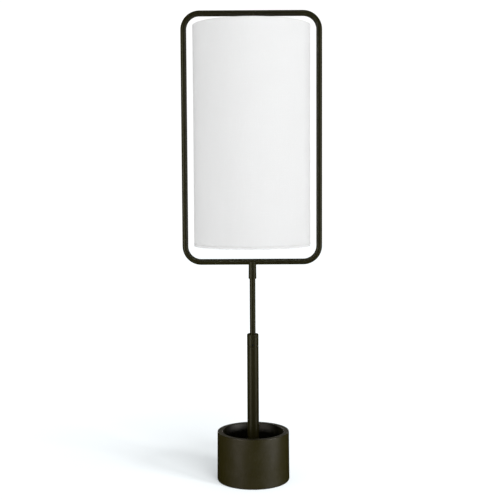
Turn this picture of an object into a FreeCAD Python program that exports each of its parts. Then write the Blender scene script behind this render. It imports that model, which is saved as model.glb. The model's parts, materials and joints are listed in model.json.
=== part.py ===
import FreeCAD, Part
import os
import re
import Sketcher

# A telescopic table lamp. A drum shade hangs inside a rounded rectangle of bent tube, which turns
# on a slim rod. The rod slides in a thicker tube, which stands in an open, weighted pot.
# Millimetres. +Z is up, the lamp faces -Y, and the origin is the middle of the foot's underside.

SIZES = {
    # pot and foot
    "felt_radius": 61.6,
    "felt_thickness": 1.5,
    "pot_radius": 62.4,
    "pot_rim_radius": 61.7,
    "pot_height": 84.8,
    "pot_wall": 8.8,
    "pot_edge": 0.8,
    "cup_floor": 44.0,
    "cup_corner": 4.0,
    "web_thickness": 6.0,
    "cavity_radius": 54.0,
    "cover_radius": 56.0,
    "cover_thickness": 1.5,
    "boss_radius": 4.5,
    "boss_circle": 50.0,
    "screw_head": 3.0,
    "screw_shank": 1.25,
    "screw_length": 10.0,
    "slot_width": 0.8,
    "slot_depth": 0.7,
    "weight_radius": 44.0,
    "weight_thickness": 14.0,
    # cord inlet in the back of the pot
    "inlet_rise": 12.0,
    "inlet_bore": 3.2,
    "inlet_barrel": 5.0,
    "inlet_lip": 5.8,
    "inlet_lip_length": 1.7,
    "inlet_flange": 7.0,
    "inlet_seat": 61.5,
    "inlet_start": 51.5,
    "inlet_end": 63.5,
    "block_start": 26.0,
    "block_length": 14.0,
    "block_width": 16.0,
    "block_height": 9.0,
    "block_lift": 0.5,
    "block_hole_radius": 2.0,
    "block_hole_depth": 3.0,
    # M10 lamp pipe that holds the foot and the socket
    "pipe_radius": 5.0,
    "pipe_bore": 3.4,
    "pipe_start": 16.5,
    "nut_flats": 17.0,
    "nut_thickness": 5.0,
    "washer_radius": 12.0,
    "washer_thickness": 1.5,
    "plug_height": 12.0,
    # lower tube with its cap, and the M4 screw that clamps the rod
    "sleeve_radius": 10.0,
    "sleeve_bore": 8.5,
    "seam_rise": 232.5,
    "seam_bevel": 0.7,
    "cap_rise": 254.0,
    "cap_edge": 2.0,
    "cap_spigot": 8.2,
    "cap_rod_gap": 0.4,
    "bush_radius": 6.5,
    "bush_margin": 2.0,
    "screw_radius": 2.0,
    "screw_socket_radius": 1.1,
    "screw_socket_depth": 0.5,
    "clamp_rise": 235.5,
    "clamp_start": 5.7,
    "clamp_length": 3.3,
    "clamp_point_radius": 1.0,
    "clamp_point_length": 0.6,
    # rod, with the running gap that lets it slide and turn
    "rod_radius": 5.0,
    "rod_bore": 3.5,
    "rod_start": 166.0,
    "running_gap": 0.05,
    "stop_height": 8.0,
    "stop_radius": 8.42,
    "groove_depth": 0.9,
    "groove_width": 2.2,
    "groove_angle": 326.0,
    # frame of bent tube
    "lamp_height": 800.0,
    "tube_radius": 5.0,
    "tube_bore": 3.8,
    "bar_rise": 377.7,
    "frame_half_width": 113.9,
    "frame_bend": 27.0,
    # hubs
    "low_hub_length": 29.1,
    "top_hub_length": 27.7,
    "hub_radius": 6.35,
    "hub_mouth_radius": 6.8,
    "hub_edge": 0.6,
    "hub_step": 16.0,
    "hub_screw_drop": 12.2,
    "hub_screw_length": 1.0,
    "hub_screw_gap": 0.05,
    "dog_radius": 0.9,
    "dog_gap": 0.1,
    "rod_seat_drop": 7.7,
    "swivel_washer": 0.8,
    # wires
    "lead_radius": 1.4,
    "lead_bend": 9.0,
    "lead_straight": 2.0,
    "core_radius": 0.7,
    "core_bend": 2.5,
    "core_start": 1.3,
    "core_drop": 6.3,
    "coil_radius": 7.8,
    # shade
    "shade_radius": 99.0,
    "shade_start": 405.0,
    "shade_end": 774.6,
    "skin_thickness": 0.5,
    "hem_thickness": 0.4,
    "hem_height": 4.8,
    "wire_radius": 1.5,
    "fitter_radius": 12.0,
    "fitter_thickness": 1.5,
    "arm_start": 9.0,
    "arm_sink": 0.6,
    "arm_climb": 8.0,
    # lampholder
    "neck_radius": 6.8,
    "neck_length": 8.0,
    "pipe_tip": 2.5,
    "dome_radius": 17.0,
    "dome_depth": 19.8,
    "dome_round": 9.0,
    "sheet_metal": 0.8,
    "shell_radius": 16.0,
    "shell_wall": 0.6,
    "shell_overlap": 4.0,
    "shell_length": 44.0,
    "shell_hole_gap": 0.8,
    "liner_inset": 0.5,
    "thread_shell_inset": 1.0,
    "liner_radius": 15.3,
    "liner_wall": 0.7,
    "holder_radius": 14.2,
    "holder_height": 20.0,
    "thread_shell_radius": 13.5,
    "thread_shell_wall": 0.4,
    "terminal_radius": 2.2,
    "terminal_height": 1.6,
    "terminal_offset": 8.0,
    "contact_thickness": 1.2,
    "contact_half_width": 2.0,
    "contact_tip": 3.0,
    "contact_tail": 8.0,
    # turn switch
    "spindle_radius": 1.6,
    "spindle_start": 2.0,
    "spindle_drop": 9.0,
    "key_start": 17.8,
    "key_length": 15.0,
    "key_width": 13.0,
    "key_thickness": 3.6,
    "key_boss_radius": 4.0,
    "key_boss_length": 4.0,
    "key_bore_depth": 7.0,
    # bulb
    "bulb_radius": 30.0,
    "bulb_neck": 13.0,
    "bulb_blend": 45.0,
    "bulb_wall": 0.8,
    "bulb_cap_radius": 12.95,
    "bulb_cap_length": 24.0,
    "bulb_thread_pitch": 3.6,
    "bulb_thread_depth": 0.6,
    "bulb_thread_start": 3.0,
    "bulb_cap_wall": 0.4,
    "bulb_tip_radius": 5.0,
    "bulb_tip_end_radius": 3.0,
    "bulb_tip_height": 3.0,
    "bulb_tip_seat": 0.6,
    "bulb_neck_length": 3.0,
    "bulb_collar_gap": 0.1,
    "bulb_collar_length": 6.0,
    # gaps between pieces, and how far a cutting shape runs past what it cuts
    "close_gap": 0.1,
    "free_gap": 0.2,
    "overcut": 1.0,
}

COVER_SCREWS = 3
SHADE_ARMS = 3
THREAD_RIDGES = 5

# Heights and radii that follow from the sizes.
POT_START = "felt_thickness"
CAVITY_FLOOR = "(felt_thickness + cover_thickness)"
CAVITY_ROOF = "(cup_floor - web_thickness)"
WEIGHT_START = f"({CAVITY_ROOF} - weight_thickness)"
SLIDING_BORE = "(rod_radius + running_gap)"
ROD_END = "(bar_rise - rod_seat_drop)"
TOP_BAR = "(lamp_height - tube_radius)"
HUB_SCREW = "(bar_rise - hub_screw_drop)"
LOW_HUB_START = "(bar_rise - low_hub_length)"
TOP_HUB_START = f"({TOP_BAR} - top_hub_length)"
HOLDER_TOP = f"({TOP_HUB_START} - fitter_thickness)"
DOME_TOP = f"({HOLDER_TOP} - neck_length)"
DOME_END = f"({DOME_TOP} - dome_depth)"
SHELL_TOP = f"({DOME_END} + shell_overlap)"
SHELL_END = f"({SHELL_TOP} - shell_length)"
HOLDER_END = f"({SHELL_TOP} - holder_height)"
KEY_RISE = f"({SHELL_TOP} - spindle_drop)"
TOP_PIPE_END = f"({DOME_TOP} - pipe_tip)"
LEAD_END = f"({TOP_PIPE_END} - core_start)"
LEAD_MEETING = "(bar_rise - lead_bend - lead_straight)"
BULB_TOP = f"({HOLDER_END} - contact_thickness)"
BULB_CAP_TOP = f"({BULB_TOP} - bulb_tip_height)"
BULB_CAP_END = f"({BULB_CAP_TOP} - bulb_cap_length)"
BULB_TIP_SEAT = f"({BULB_CAP_TOP} - bulb_tip_seat)"
FABRIC_RADIUS = "(shade_radius - hem_thickness)"
LINER_RADIUS = f"({FABRIC_RADIUS} - skin_thickness)"
SHADE_INNER = f"({LINER_RADIUS} - skin_thickness)"
RING_RADIUS = f"({SHADE_INNER} - hem_thickness - wire_radius)"

doc = FreeCAD.newDocument("table_lamp")
sheet = doc.addObject("Spreadsheet::Sheet", "size")
for row, (word, number) in enumerate(SIZES.items(), start=1):
    sheet.set(f"A{row}", word)
    sheet.set(f"B{row}", str(number))
    sheet.setAlias(f"B{row}", word)
doc.recompute()

nodes = []


def cells(expression):
    """The expression with each of its words read from the sheet; a word before a bracket is a function."""
    return re.sub(r"[a-z][a-z_]+(?![a-z_(])", r"size.\g<0>", str(expression))


def value(expression):
    """What the expression gives for the sheet's present numbers."""
    return float(sheet.evalExpression(cells(expression)))


def keep(item, name):
    """Names a finished sub-part and lists it for writing."""
    item.Label = name
    nodes.append(item)
    return item


# Sketches

def sketch_on(body, role, lift=None):
    """A sketch on one of the body's own origin planes, raised along the plane's normal."""
    plane = next(feature for feature in body.Origin.OriginFeatures if feature.Role == role)
    sketch = body.newObject("Sketcher::SketchObject", f"{body.Name}_sketch")
    sketch.AttachmentSupport = [(plane, "")]
    sketch.MapMode = "FlatFace"
    if lift is not None:
        sketch.setExpression("AttachmentOffset.Base.z", cells(lift))
    return sketch


def pin(sketch, edge, end, direction, expression):
    """Holds one coordinate of an edge's point at an expression."""
    size = Sketcher.Constraint(direction, -1, 1, edge, end, value(expression))
    index = sketch.addConstraint(size)
    sketch.setExpression(f"Constraints[{index}]", cells(expression))


def add_edge(sketch, start, end, radius=None):
    """A line, or a short arc whose centre is to the left for a positive radius, to the right otherwise."""
    if radius is None:
        return sketch.addGeometry(Part.LineSegment(start, end)), 1, 2
    chord = end - start
    left = FreeCAD.Vector(-chord.y, chord.x, 0).normalize()
    reach = abs(value(radius))
    side = 1 if value(radius) > 0 else -1
    depth = (reach ** 2 - chord.Length ** 2 / 4) ** 0.5
    centre = (start + end) * 0.5 + left * side * depth
    crown = centre - left * side * reach
    edge = sketch.addGeometry(Part.Arc(start, crown, end))
    index = sketch.addConstraint(Sketcher.Constraint("Radius", edge, reach))
    sketch.setExpression(f"Constraints[{index}]", cells(f"abs({radius})"))
    return (edge, 1, 2) if side > 0 else (edge, 2, 1)


def outline(sketch, corners):
    """A closed outline. A corner is two expressions, and a third makes the edge after it an arc."""
    places = [FreeCAD.Vector(value(corner[0]), value(corner[1]), 0) for corner in corners]
    edges = []
    for index, corner in enumerate(corners):
        following = places[(index + 1) % len(places)]
        radius = corner[2] if len(corner) == 3 else None
        edges.append(add_edge(sketch, places[index], following, radius))
    for index, corner in enumerate(corners):
        edge, first, last = edges[index]
        after, after_first, _ = edges[(index + 1) % len(edges)]
        sketch.addConstraint(Sketcher.Constraint("Coincident", edge, last, after, after_first))
        pin(sketch, edge, first, "DistanceX", corner[0])
        pin(sketch, edge, first, "DistanceY", corner[1])


def circle(sketch, across, up, radius):
    """A circle with its centre and radius at expressions."""
    place = FreeCAD.Vector(value(across), value(up), 0)
    edge = sketch.addGeometry(Part.Circle(place, FreeCAD.Vector(0, 0, 1), value(radius)))
    pin(sketch, edge, 3, "DistanceX", across)
    pin(sketch, edge, 3, "DistanceY", up)
    index = sketch.addConstraint(Sketcher.Constraint("Radius", edge, value(radius)))
    sketch.setExpression(f"Constraints[{index}]", cells(radius))


def square_route(sketch, corners, bend):
    """Level and upright runs through the corners, with a tangent arc of its own radius at each turn."""
    places = [FreeCAD.Vector(value(across), value(up), 0) for across, up in corners]
    bends = [0.0] + [value(radius) for radius in bend] + [0.0]
    runs = []
    for index in range(len(places) - 1):
        start, end = places[index], places[index + 1]
        step = (end - start).normalize()
        line = Part.LineSegment(start + step * bends[index], end - step * bends[index + 1])
        edge = sketch.addGeometry(line)
        upright = abs(step.x) < abs(step.y)
        sketch.addConstraint(Sketcher.Constraint("Vertical" if upright else "Horizontal", edge))
        if upright:
            pin(sketch, edge, 1, "DistanceX", corners[index][0])
        else:
            pin(sketch, edge, 1, "DistanceY", corners[index][1])
        runs.append((edge, upright, line, step))
    for index, radius in enumerate(bend):
        before, _, first, step = runs[index]
        after, _, second, turned = runs[index + 1]
        reach = value(radius)
        centre = first.EndPoint + turned * reach
        crown = centre + (step - turned).normalize() * reach
        arc = sketch.addGeometry(Part.Arc(first.EndPoint, crown, second.StartPoint))
        left_turn = step.cross(turned).z > 0
        start, end = (1, 2) if left_turn else (2, 1)
        sketch.addConstraint(Sketcher.Constraint("Tangent", before, 2, arc, start))
        sketch.addConstraint(Sketcher.Constraint("Tangent", arc, end, after, 1))
        size = sketch.addConstraint(Sketcher.Constraint("Radius", arc, reach))
        sketch.setExpression(f"Constraints[{size}]", cells(radius))
    for run, end, corner in ((runs[0], 1, corners[0]), (runs[-1], 2, corners[-1])):
        upright = run[1]
        pin(sketch, run[0], end, "DistanceY" if upright else "DistanceX", corner[1 if upright else 0])


# Features

def new_body(name):
    """A part design body that becomes the sub-part of that name."""
    body = doc.addObject("PartDesign::Body", name)
    return keep(body, name)


def revolved(name, *outlines):
    """A body turned about the upright axis from outlines of radius and height."""
    body = new_body(name)
    sketch = sketch_on(body, "XZ_Plane")
    for corners in outlines:
        outline(sketch, corners)
    turn = body.newObject("PartDesign::Revolution", f"{name}_revolution")
    turn.Profile = sketch
    turn.ReferenceAxis = (sketch, ["V_Axis"])
    turn.Angle = 360
    return body


def ring(name, inner, outer, low, high):
    """A plain ring or disc between two radii and two heights."""
    return revolved(name, [(inner, low), (outer, low), (outer, high), (inner, high)])


def wire_ring(body, radius, rise):
    """A ring of round wire about the upright axis."""
    sketch = sketch_on(body, "XZ_Plane")
    circle(sketch, radius, rise, "wire_radius")
    turn = body.newObject("PartDesign::Revolution", f"{body.Name}_ring")
    turn.Profile = sketch
    turn.ReferenceAxis = (sketch, ["V_Axis"])
    turn.Angle = 360


def pad(body, sketch, length):
    """Adds the sketch's area along its normal."""
    feature = body.newObject("PartDesign::Pad", f"{body.Name}_pad")
    feature.Profile = sketch
    feature.setExpression("Length", cells(length))
    return feature


def pocket(body, sketch, length, along_normal, both_ways=False):
    """Removes the sketch's area, and stops if nothing came away."""
    doc.recompute()
    before = body.Shape.Volume
    feature = body.newObject("PartDesign::Pocket", f"{body.Name}_pocket")
    feature.Profile = sketch
    feature.setExpression("Length", cells(length))
    feature.Reversed = along_normal
    feature.Midplane = both_ways
    doc.recompute()
    if body.Shape.Volume > before - 1e-3:
        raise RuntimeError(f"{feature.Name} cuts nothing")
    return feature


def around(body, features, count):
    """Repeats features evenly about the upright axis."""
    pattern = body.newObject("PartDesign::PolarPattern", f"{body.Name}_pattern")
    pattern.Originals = features
    axis = next(feature for feature in body.Origin.OriginFeatures if feature.Role == "Z_Axis")
    pattern.Axis = (axis, [""])
    pattern.Angle = 360
    pattern.Occurrences = count
    body.Tip = pattern
    return pattern


def edges_at(shape, radius, rise):
    """The names of the round edges of that radius about the upright axis at that height."""
    names = []
    for index, edge in enumerate(shape.Edges, start=1):
        curve = edge.Curve
        if not isinstance(curve, Part.Circle):
            continue
        level = abs(curve.Center.z - value(rise)) < 1e-3
        centred = abs(curve.Center.x) < 1e-3 and abs(curve.Center.y) < 1e-3
        if level and centred and abs(curve.Radius - value(radius)) < 1e-3:
            names.append(f"Edge{index}")
    if not names:
        raise RuntimeError(f"no edge of radius {radius} at {rise}")
    return names


def rounded(body, size, *places):
    """Fillets the round edges at the given radii and heights."""
    doc.recompute()
    base = body.Tip
    names = [name for radius, rise in places for name in edges_at(base.Shape, radius, rise)]
    fillet = body.newObject("PartDesign::Fillet", f"{body.Name}_fillet")
    fillet.Base = (base, names)
    fillet.setExpression("Radius", cells(size))
    return fillet


def bevelled(body, size, *places):
    """Chamfers the round edges at the given radii and heights."""
    doc.recompute()
    base = body.Tip
    names = [name for radius, rise in places for name in edges_at(base.Shape, radius, rise)]
    chamfer = body.newObject("PartDesign::Chamfer", f"{body.Name}_chamfer")
    chamfer.Base = (base, names)
    chamfer.setExpression("Size", cells(size))
    return chamfer


def piped(body, plane, corners, bend, outer, inner=None):
    """A round bar, or a tube, along a square route that starts at the profile's plane."""
    level_start = value(corners[0][1]) == value(corners[1][1])
    spine = sketch_on(body, plane)
    square_route(spine, corners, bend)
    if level_start:
        other = "YZ_Plane" if plane == "XZ_Plane" else "XZ_Plane"
        profile_at = ("0", corners[0][1])
        lift = corners[0][0] if plane == "XZ_Plane" else f"-({corners[0][0]})"
    else:
        other = "XY_Plane"
        profile_at = (corners[0][0], "0") if plane == "XZ_Plane" else ("0", corners[0][0])
        lift = corners[0][1]
    for kind, radius in (("Additive", outer), ("Subtractive", inner)):
        if radius is None:
            continue
        profile = sketch_on(body, other, lift)
        circle(profile, *profile_at, radius)
        feature = body.newObject(f"PartDesign::{kind}Pipe", f"{body.Name}_{kind.lower()}")
        feature.Profile = profile
        feature.Spine = (spine, [])
        doc.recompute()


def block(name, size, place):
    """A Part box of three sizes, with its lowest corner at a place."""
    box = doc.addObject("Part::Box", name)
    for side, expression in zip(("Length", "Width", "Height"), size):
        box.setExpression(side, cells(expression))
    for axis, expression in zip("xyz", place):
        box.setExpression(f"Placement.Base.{axis}", cells(expression))
    return box


def rod(name, radius, length, place, axis=(0, 0, 1), end_radius=None):
    """A Part cylinder, or a cone where an end radius is given, from a place along an axis."""
    turn = FreeCAD.Rotation(FreeCAD.Vector(0, 0, 1), FreeCAD.Vector(*axis))
    if end_radius is None:
        bar = doc.addObject("Part::Cylinder", name)
        bar.setExpression("Radius", cells(radius))
    else:
        bar = doc.addObject("Part::Cone", name)
        bar.setExpression("Radius1", cells(radius))
        bar.setExpression("Radius2", cells(end_radius))
    bar.setExpression("Height", cells(length))
    bar.Placement = FreeCAD.Placement(FreeCAD.Vector(0, 0, 0), turn)
    for letter, expression in zip("xyz", place):
        bar.setExpression(f"Placement.Base.{letter}", cells(expression))
    return bar


def joined(name, *shapes):
    """A Part union of shapes."""
    union = doc.addObject("Part::MultiFuse", name)
    union.Shapes = list(shapes)
    return union


def less(name, base, tool):
    """A Part cut of one shape from another."""
    cut = doc.addObject("Part::Cut", name)
    cut.Base = base
    cut.Tool = tool
    return cut


# Foot

def make_felt_pad():
    ring("felt_pad", 0, "felt_radius", 0, POT_START)


def make_base_pot():
    cup_radius = "(pot_rim_radius - pot_wall)"
    pipe_hole = "(pipe_radius + free_gap)"
    body = revolved("base_pot", [
        ("pot_radius", POT_START),
        ("pot_rim_radius", "pot_height"),
        (cup_radius, "pot_height"),
        (cup_radius, "cup_floor"),
        (pipe_hole, "cup_floor"),
        (pipe_hole, CAVITY_ROOF),
        ("cavity_radius", CAVITY_ROOF),
        ("cavity_radius", CAVITY_FLOOR),
        ("cover_radius", CAVITY_FLOOR),
        ("cover_radius", POT_START),
    ])
    rounded(body, "pot_edge", ("pot_rim_radius", "pot_height"), (cup_radius, "pot_height"),
            ("pot_radius", POT_START))
    rounded(body, "cup_corner", (cup_radius, "cup_floor"))
    boss = sketch_on(body, "XY_Plane", CAVITY_FLOOR)
    circle(boss, 0, "-boss_circle", "boss_radius")
    boss_pad = pad(body, boss, f"{CAVITY_ROOF} - {CAVITY_FLOOR}")
    hole = sketch_on(body, "XY_Plane", CAVITY_FLOOR)
    circle(hole, 0, "-boss_circle", "screw_shank")
    hole_pocket = pocket(body, hole, "screw_length + overcut", along_normal=True)
    around(body, [boss_pad, hole_pocket], COVER_SCREWS)
    inlet_steps = (("inlet_barrel", "boss_circle"), ("inlet_flange + close_gap", "inlet_seat"))
    for radius, start in inlet_steps:
        inlet = sketch_on(body, "XZ_Plane", f"-({start})")
        circle(inlet, 0, "inlet_rise", radius)
        pocket(body, inlet, "pot_radius", along_normal=False)


def make_base_weight():
    ring("base_weight", "pipe_radius + free_gap", "weight_radius", WEIGHT_START, CAVITY_ROOF)


def make_cover_plate():
    body = ring("cover_plate", 0, "cover_radius - close_gap", POT_START, CAVITY_FLOOR)
    sink = body.newObject("PartDesign::SubtractiveCone", "cover_plate_sink")
    sink.setExpression("Radius1", cells("screw_head"))
    sink.setExpression("Radius2", cells("screw_shank"))
    sink.setExpression("Height", cells("cover_thickness"))
    plane = next(feature for feature in body.Origin.OriginFeatures if feature.Role == "XY_Plane")
    sink.AttachmentSupport = [(plane, "")]
    sink.MapMode = "FlatFace"
    sink.setExpression("AttachmentOffset.Base.y", cells("-boss_circle"))
    sink.setExpression("AttachmentOffset.Base.z", cells(POT_START))
    around(body, [sink], COVER_SCREWS)


def make_cover_screws():
    screws = []
    for index in range(COVER_SCREWS):
        turn = 270 + 360 * index / COVER_SCREWS
        place = (f"boss_circle * cos({turn})", f"boss_circle * sin({turn})")
        head = rod(f"screw_head_{index}", "screw_head", "cover_thickness", (*place, POT_START),
                   end_radius="screw_shank")
        shank = rod(f"screw_shank_{index}", "screw_shank", "screw_length", (*place, CAVITY_FLOOR))
        slot = block(f"screw_slot_{index}", ("screw_head * 2", "slot_width", "slot_depth"),
                     (f"{place[0]} - screw_head", f"{place[1]} - slot_width / 2", POT_START))
        solid = joined(f"screw_solid_{index}", head, shank)
        screws.append(less(f"screw_{index}", solid, slot))
    group = doc.addObject("Part::Compound", "cover_screws")
    group.Links = screws
    keep(group, "cover_screws")


def make_cord_bushing():
    flange = rod("bushing_flange", "inlet_flange", "inlet_end - inlet_seat",
                 (0, "inlet_seat", "inlet_rise"), (0, 1, 0))
    barrel = rod("bushing_barrel", "inlet_barrel", "inlet_seat - inlet_start",
                 (0, "inlet_start", "inlet_rise"), (0, 1, 0))
    lip = rod("bushing_lip", "inlet_lip", "inlet_lip_length", (0, "inlet_start", "inlet_rise"), (0, 1, 0))
    bore = rod("bushing_bore", "inlet_bore", "inlet_end", (0, "inlet_start - overcut", "inlet_rise"),
               (0, 1, 0))
    keep(less("cord_bushing", joined("bushing_solid", flange, barrel, lip), bore), "cord_bushing")


def make_terminal_block():
    body = new_body("terminal_block")
    low = f"({CAVITY_FLOOR} + block_lift)"
    sketch = sketch_on(body, "XY_Plane", low)
    half = "block_width / 2"
    end = "block_start + block_length"
    outline(sketch, [(f"-({half})", "block_start"), (half, "block_start"), (half, end), (f"-({half})", end)])
    pad(body, sketch, "block_height")
    for side in ("-1", "1"):
        screw = sketch_on(body, "XY_Plane", f"{low} + block_height")
        circle(screw, f"{side} * block_width / 4", "block_start + block_length / 2", "block_hole_radius")
        pocket(body, screw, "block_hole_depth", along_normal=False)


def make_lower_pipe():
    ring("lower_pipe", "pipe_bore", "pipe_radius", "pipe_start", "cup_floor + plug_height")


def make_foot_nut():
    prism = doc.addObject("Part::Prism", "foot_nut_prism")
    prism.Polygon = 6
    prism.setExpression("Circumradius", cells("nut_flats / sqrt(3)"))
    prism.setExpression("Height", cells("nut_thickness"))
    low = f"({WEIGHT_START} - washer_thickness - nut_thickness)"
    prism.setExpression("Placement.Base.z", cells(low))
    hole = rod("foot_nut_hole", "pipe_radius", "nut_thickness + 2 * overcut", (0, 0, f"{low} - overcut"))
    keep(less("foot_nut", prism, hole), "foot_nut")


def make_foot_washer():
    low = f"({WEIGHT_START} - washer_thickness)"
    ring("foot_washer", "pipe_radius + free_gap", "washer_radius", low, WEIGHT_START)


def make_foot_plug():
    ring("foot_plug", "pipe_radius", "sleeve_bore", "cup_floor", "cup_floor + plug_height")


# Lower tube and rod

def make_lower_tube():
    body = ring("lower_tube", "sleeve_bore", "sleeve_radius", "cup_floor", "seam_rise")
    bevelled(body, "seam_bevel", ("sleeve_radius", "seam_rise"))


def screw_hole(body, rise):
    """Opens the front of a body for a grub screw."""
    hole = sketch_on(body, "XZ_Plane")
    circle(hole, 0, rise, "screw_radius")
    pocket(body, hole, "sleeve_radius + overcut", along_normal=True)


def make_tube_cap():
    mouth = f"({SLIDING_BORE} + cap_rod_gap)"
    body = revolved("tube_cap", [
        ("bush_radius", "seam_rise - cap_spigot"),
        ("sleeve_bore", "seam_rise - cap_spigot"),
        ("sleeve_bore", "seam_rise"),
        ("sleeve_radius", "seam_rise"),
        ("sleeve_radius", "cap_rise"),
        (mouth, "cap_rise"),
        (mouth, "cap_rise - bush_margin"),
        ("bush_radius", "cap_rise - bush_margin"),
    ])
    rounded(body, "cap_edge", ("sleeve_radius", "cap_rise"))
    bevelled(body, "seam_bevel", ("sleeve_radius", "seam_rise"))
    screw_hole(body, "clamp_rise")


def make_guide_bush():
    body = ring("guide_bush", SLIDING_BORE, "bush_radius", "seam_rise - cap_spigot", "cap_rise - bush_margin")
    screw_hole(body, "clamp_rise")


def grub_screw(name, rise, start, length, point_radius, point_length):
    """A headless screw along -Y with a hexagon socket in its outer end and a dog point inside."""
    front = (0, -1, 0)
    shank = rod(f"{name}_shank", "screw_radius", length, (0, f"-({start})", rise), front)
    point = rod(f"{name}_point", point_radius, point_length, (0, f"{point_length} - ({start})", rise), front)
    socket = doc.addObject("Part::Prism", f"{name}_socket")
    socket.Polygon = 6
    socket.setExpression("Circumradius", cells("screw_socket_radius"))
    socket.setExpression("Height", cells("screw_socket_depth + overcut"))
    turn = FreeCAD.Rotation(FreeCAD.Vector(0, 0, 1), FreeCAD.Vector(*front))
    socket.Placement = FreeCAD.Placement(FreeCAD.Vector(0, 0, 0), turn)
    socket.setExpression("Placement.Base.y", cells(f"screw_socket_depth - ({start}) - {length}"))
    socket.setExpression("Placement.Base.z", cells(rise))
    keep(less(name, joined(f"{name}_solid", shank, point), socket), name)


def make_clamp_screw():
    grub_screw("clamp_screw", "clamp_rise", "clamp_start", "clamp_length", "clamp_point_radius",
               "clamp_point_length")


def make_upper_rod():
    body = ring("upper_rod", "rod_bore", "rod_radius", "rod_start", ROD_END)
    doc.recompute()
    whole = body.Shape.Volume
    profile = sketch_on(body, "YZ_Plane")
    low = f"({HUB_SCREW} - groove_width / 2)"
    high = f"({HUB_SCREW} + groove_width / 2)"
    deep = "-(rod_radius - groove_depth)"
    clear = "-(rod_radius + overcut)"
    outline(profile, [(clear, low), (deep, low), (deep, high), (clear, high)])
    groove = body.newObject("PartDesign::Groove", "upper_rod_groove")
    groove.Profile = profile
    groove.ReferenceAxis = (profile, ["V_Axis"])
    groove.setExpression("Angle", cells("groove_angle"))
    groove.Midplane = True
    doc.recompute()
    if body.Shape.Volume > whole - 1:
        raise RuntimeError("the rod's groove cuts nothing")


def make_rod_stop():
    ring("rod_stop", "rod_radius", "stop_radius", "rod_start", "rod_start + stop_height")


# Frame

def make_hub(name, start, bar, mouth_bore, step):
    """A short tapered hub with a stepped bore, coped to half of the bar that crosses its far end."""
    body = revolved(name, [
        (mouth_bore, start),
        ("hub_mouth_radius", start),
        ("hub_radius", bar),
        ("tube_bore", bar),
        ("tube_bore", step),
        (mouth_bore, step),
    ])
    bevelled(body, "hub_edge", ("hub_mouth_radius", start))
    cope = sketch_on(body, "YZ_Plane")
    circle(cope, 0, bar, "tube_radius")
    pocket(body, cope, "hub_mouth_radius * 4", along_normal=False, both_ways=True)
    return body


def make_low_hub():
    body = make_hub("low_hub", LOW_HUB_START, "bar_rise", SLIDING_BORE, f"{ROD_END} + swivel_washer")
    screw_hole(body, HUB_SCREW)


def make_top_hub():
    make_hub("top_hub", TOP_HUB_START, TOP_BAR, "pipe_radius", f"{TOP_HUB_START} + hub_step")


def make_hub_screw():
    grub_screw("hub_screw", HUB_SCREW, f"{SLIDING_BORE} + hub_screw_gap", "hub_screw_length", "dog_radius",
               "groove_depth - dog_gap")


def make_swivel_washer():
    ring("swivel_washer", "tube_bore + close_gap", "rod_radius - close_gap", ROD_END,
         f"{ROD_END} + swivel_washer")


def make_frame_half(name, side):
    """Half of the frame: a bent tube that meets the other half over both hubs."""
    body = new_body(name)
    far = f"{side} * frame_half_width"
    corners = [(0, "bar_rise"), (far, "bar_rise"), (far, TOP_BAR), (0, TOP_BAR)]
    piped(body, "XZ_Plane", corners, ["frame_bend", "frame_bend"], "tube_radius", "tube_bore")
    for rise in ("bar_rise", TOP_BAR):
        hole = sketch_on(body, "XY_Plane", rise)
        circle(hole, 0, 0, "tube_bore")
        pocket(body, hole, "tube_radius + overcut", along_normal=False)


# Wires

def make_lead_base():
    body = new_body("lead_base")
    rise = "(pipe_start - lead_bend)"
    corners = [("block_start", rise), (0, rise), (0, "cup_floor + plug_height")]
    piped(body, "YZ_Plane", corners, ["lead_bend"], "lead_radius")


def make_lead_coil():
    ring("lead_coil", "rod_bore", "coil_radius", "cup_floor + plug_height", "rod_start")


def make_lead_rod():
    ring("lead_rod", 0, "lead_radius", "rod_start", LEAD_MEETING)


def make_lead_frame():
    body = new_body("lead_frame")
    corners = [
        (0, LEAD_MEETING),
        (0, "bar_rise"),
        ("frame_half_width", "bar_rise"),
        ("frame_half_width", TOP_BAR),
        (0, TOP_BAR),
        (0, LEAD_END),
    ]
    piped(body, "XZ_Plane", corners, ["lead_bend", "frame_bend", "frame_bend", "lead_bend"], "lead_radius")


def make_lead_cores():
    body = new_body("lead_cores")
    level = f"({TOP_PIPE_END} - core_drop)"
    end = f"({SHELL_TOP} + terminal_height)"
    corners = [
        ("core_radius", LEAD_END),
        ("core_radius", level),
        ("terminal_offset", level),
        ("terminal_offset", end),
    ]
    piped(body, "XZ_Plane", corners, ["core_bend", "core_bend"], "core_radius")
    mirror = body.newObject("PartDesign::Mirrored", "lead_cores_mirror")
    mirror.Originals = [body.Tip]
    plane = next(feature for feature in body.Origin.OriginFeatures if feature.Role == "YZ_Plane")
    mirror.MirrorPlane = (plane, [""])
    body.Tip = mirror


# Shade

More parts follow.
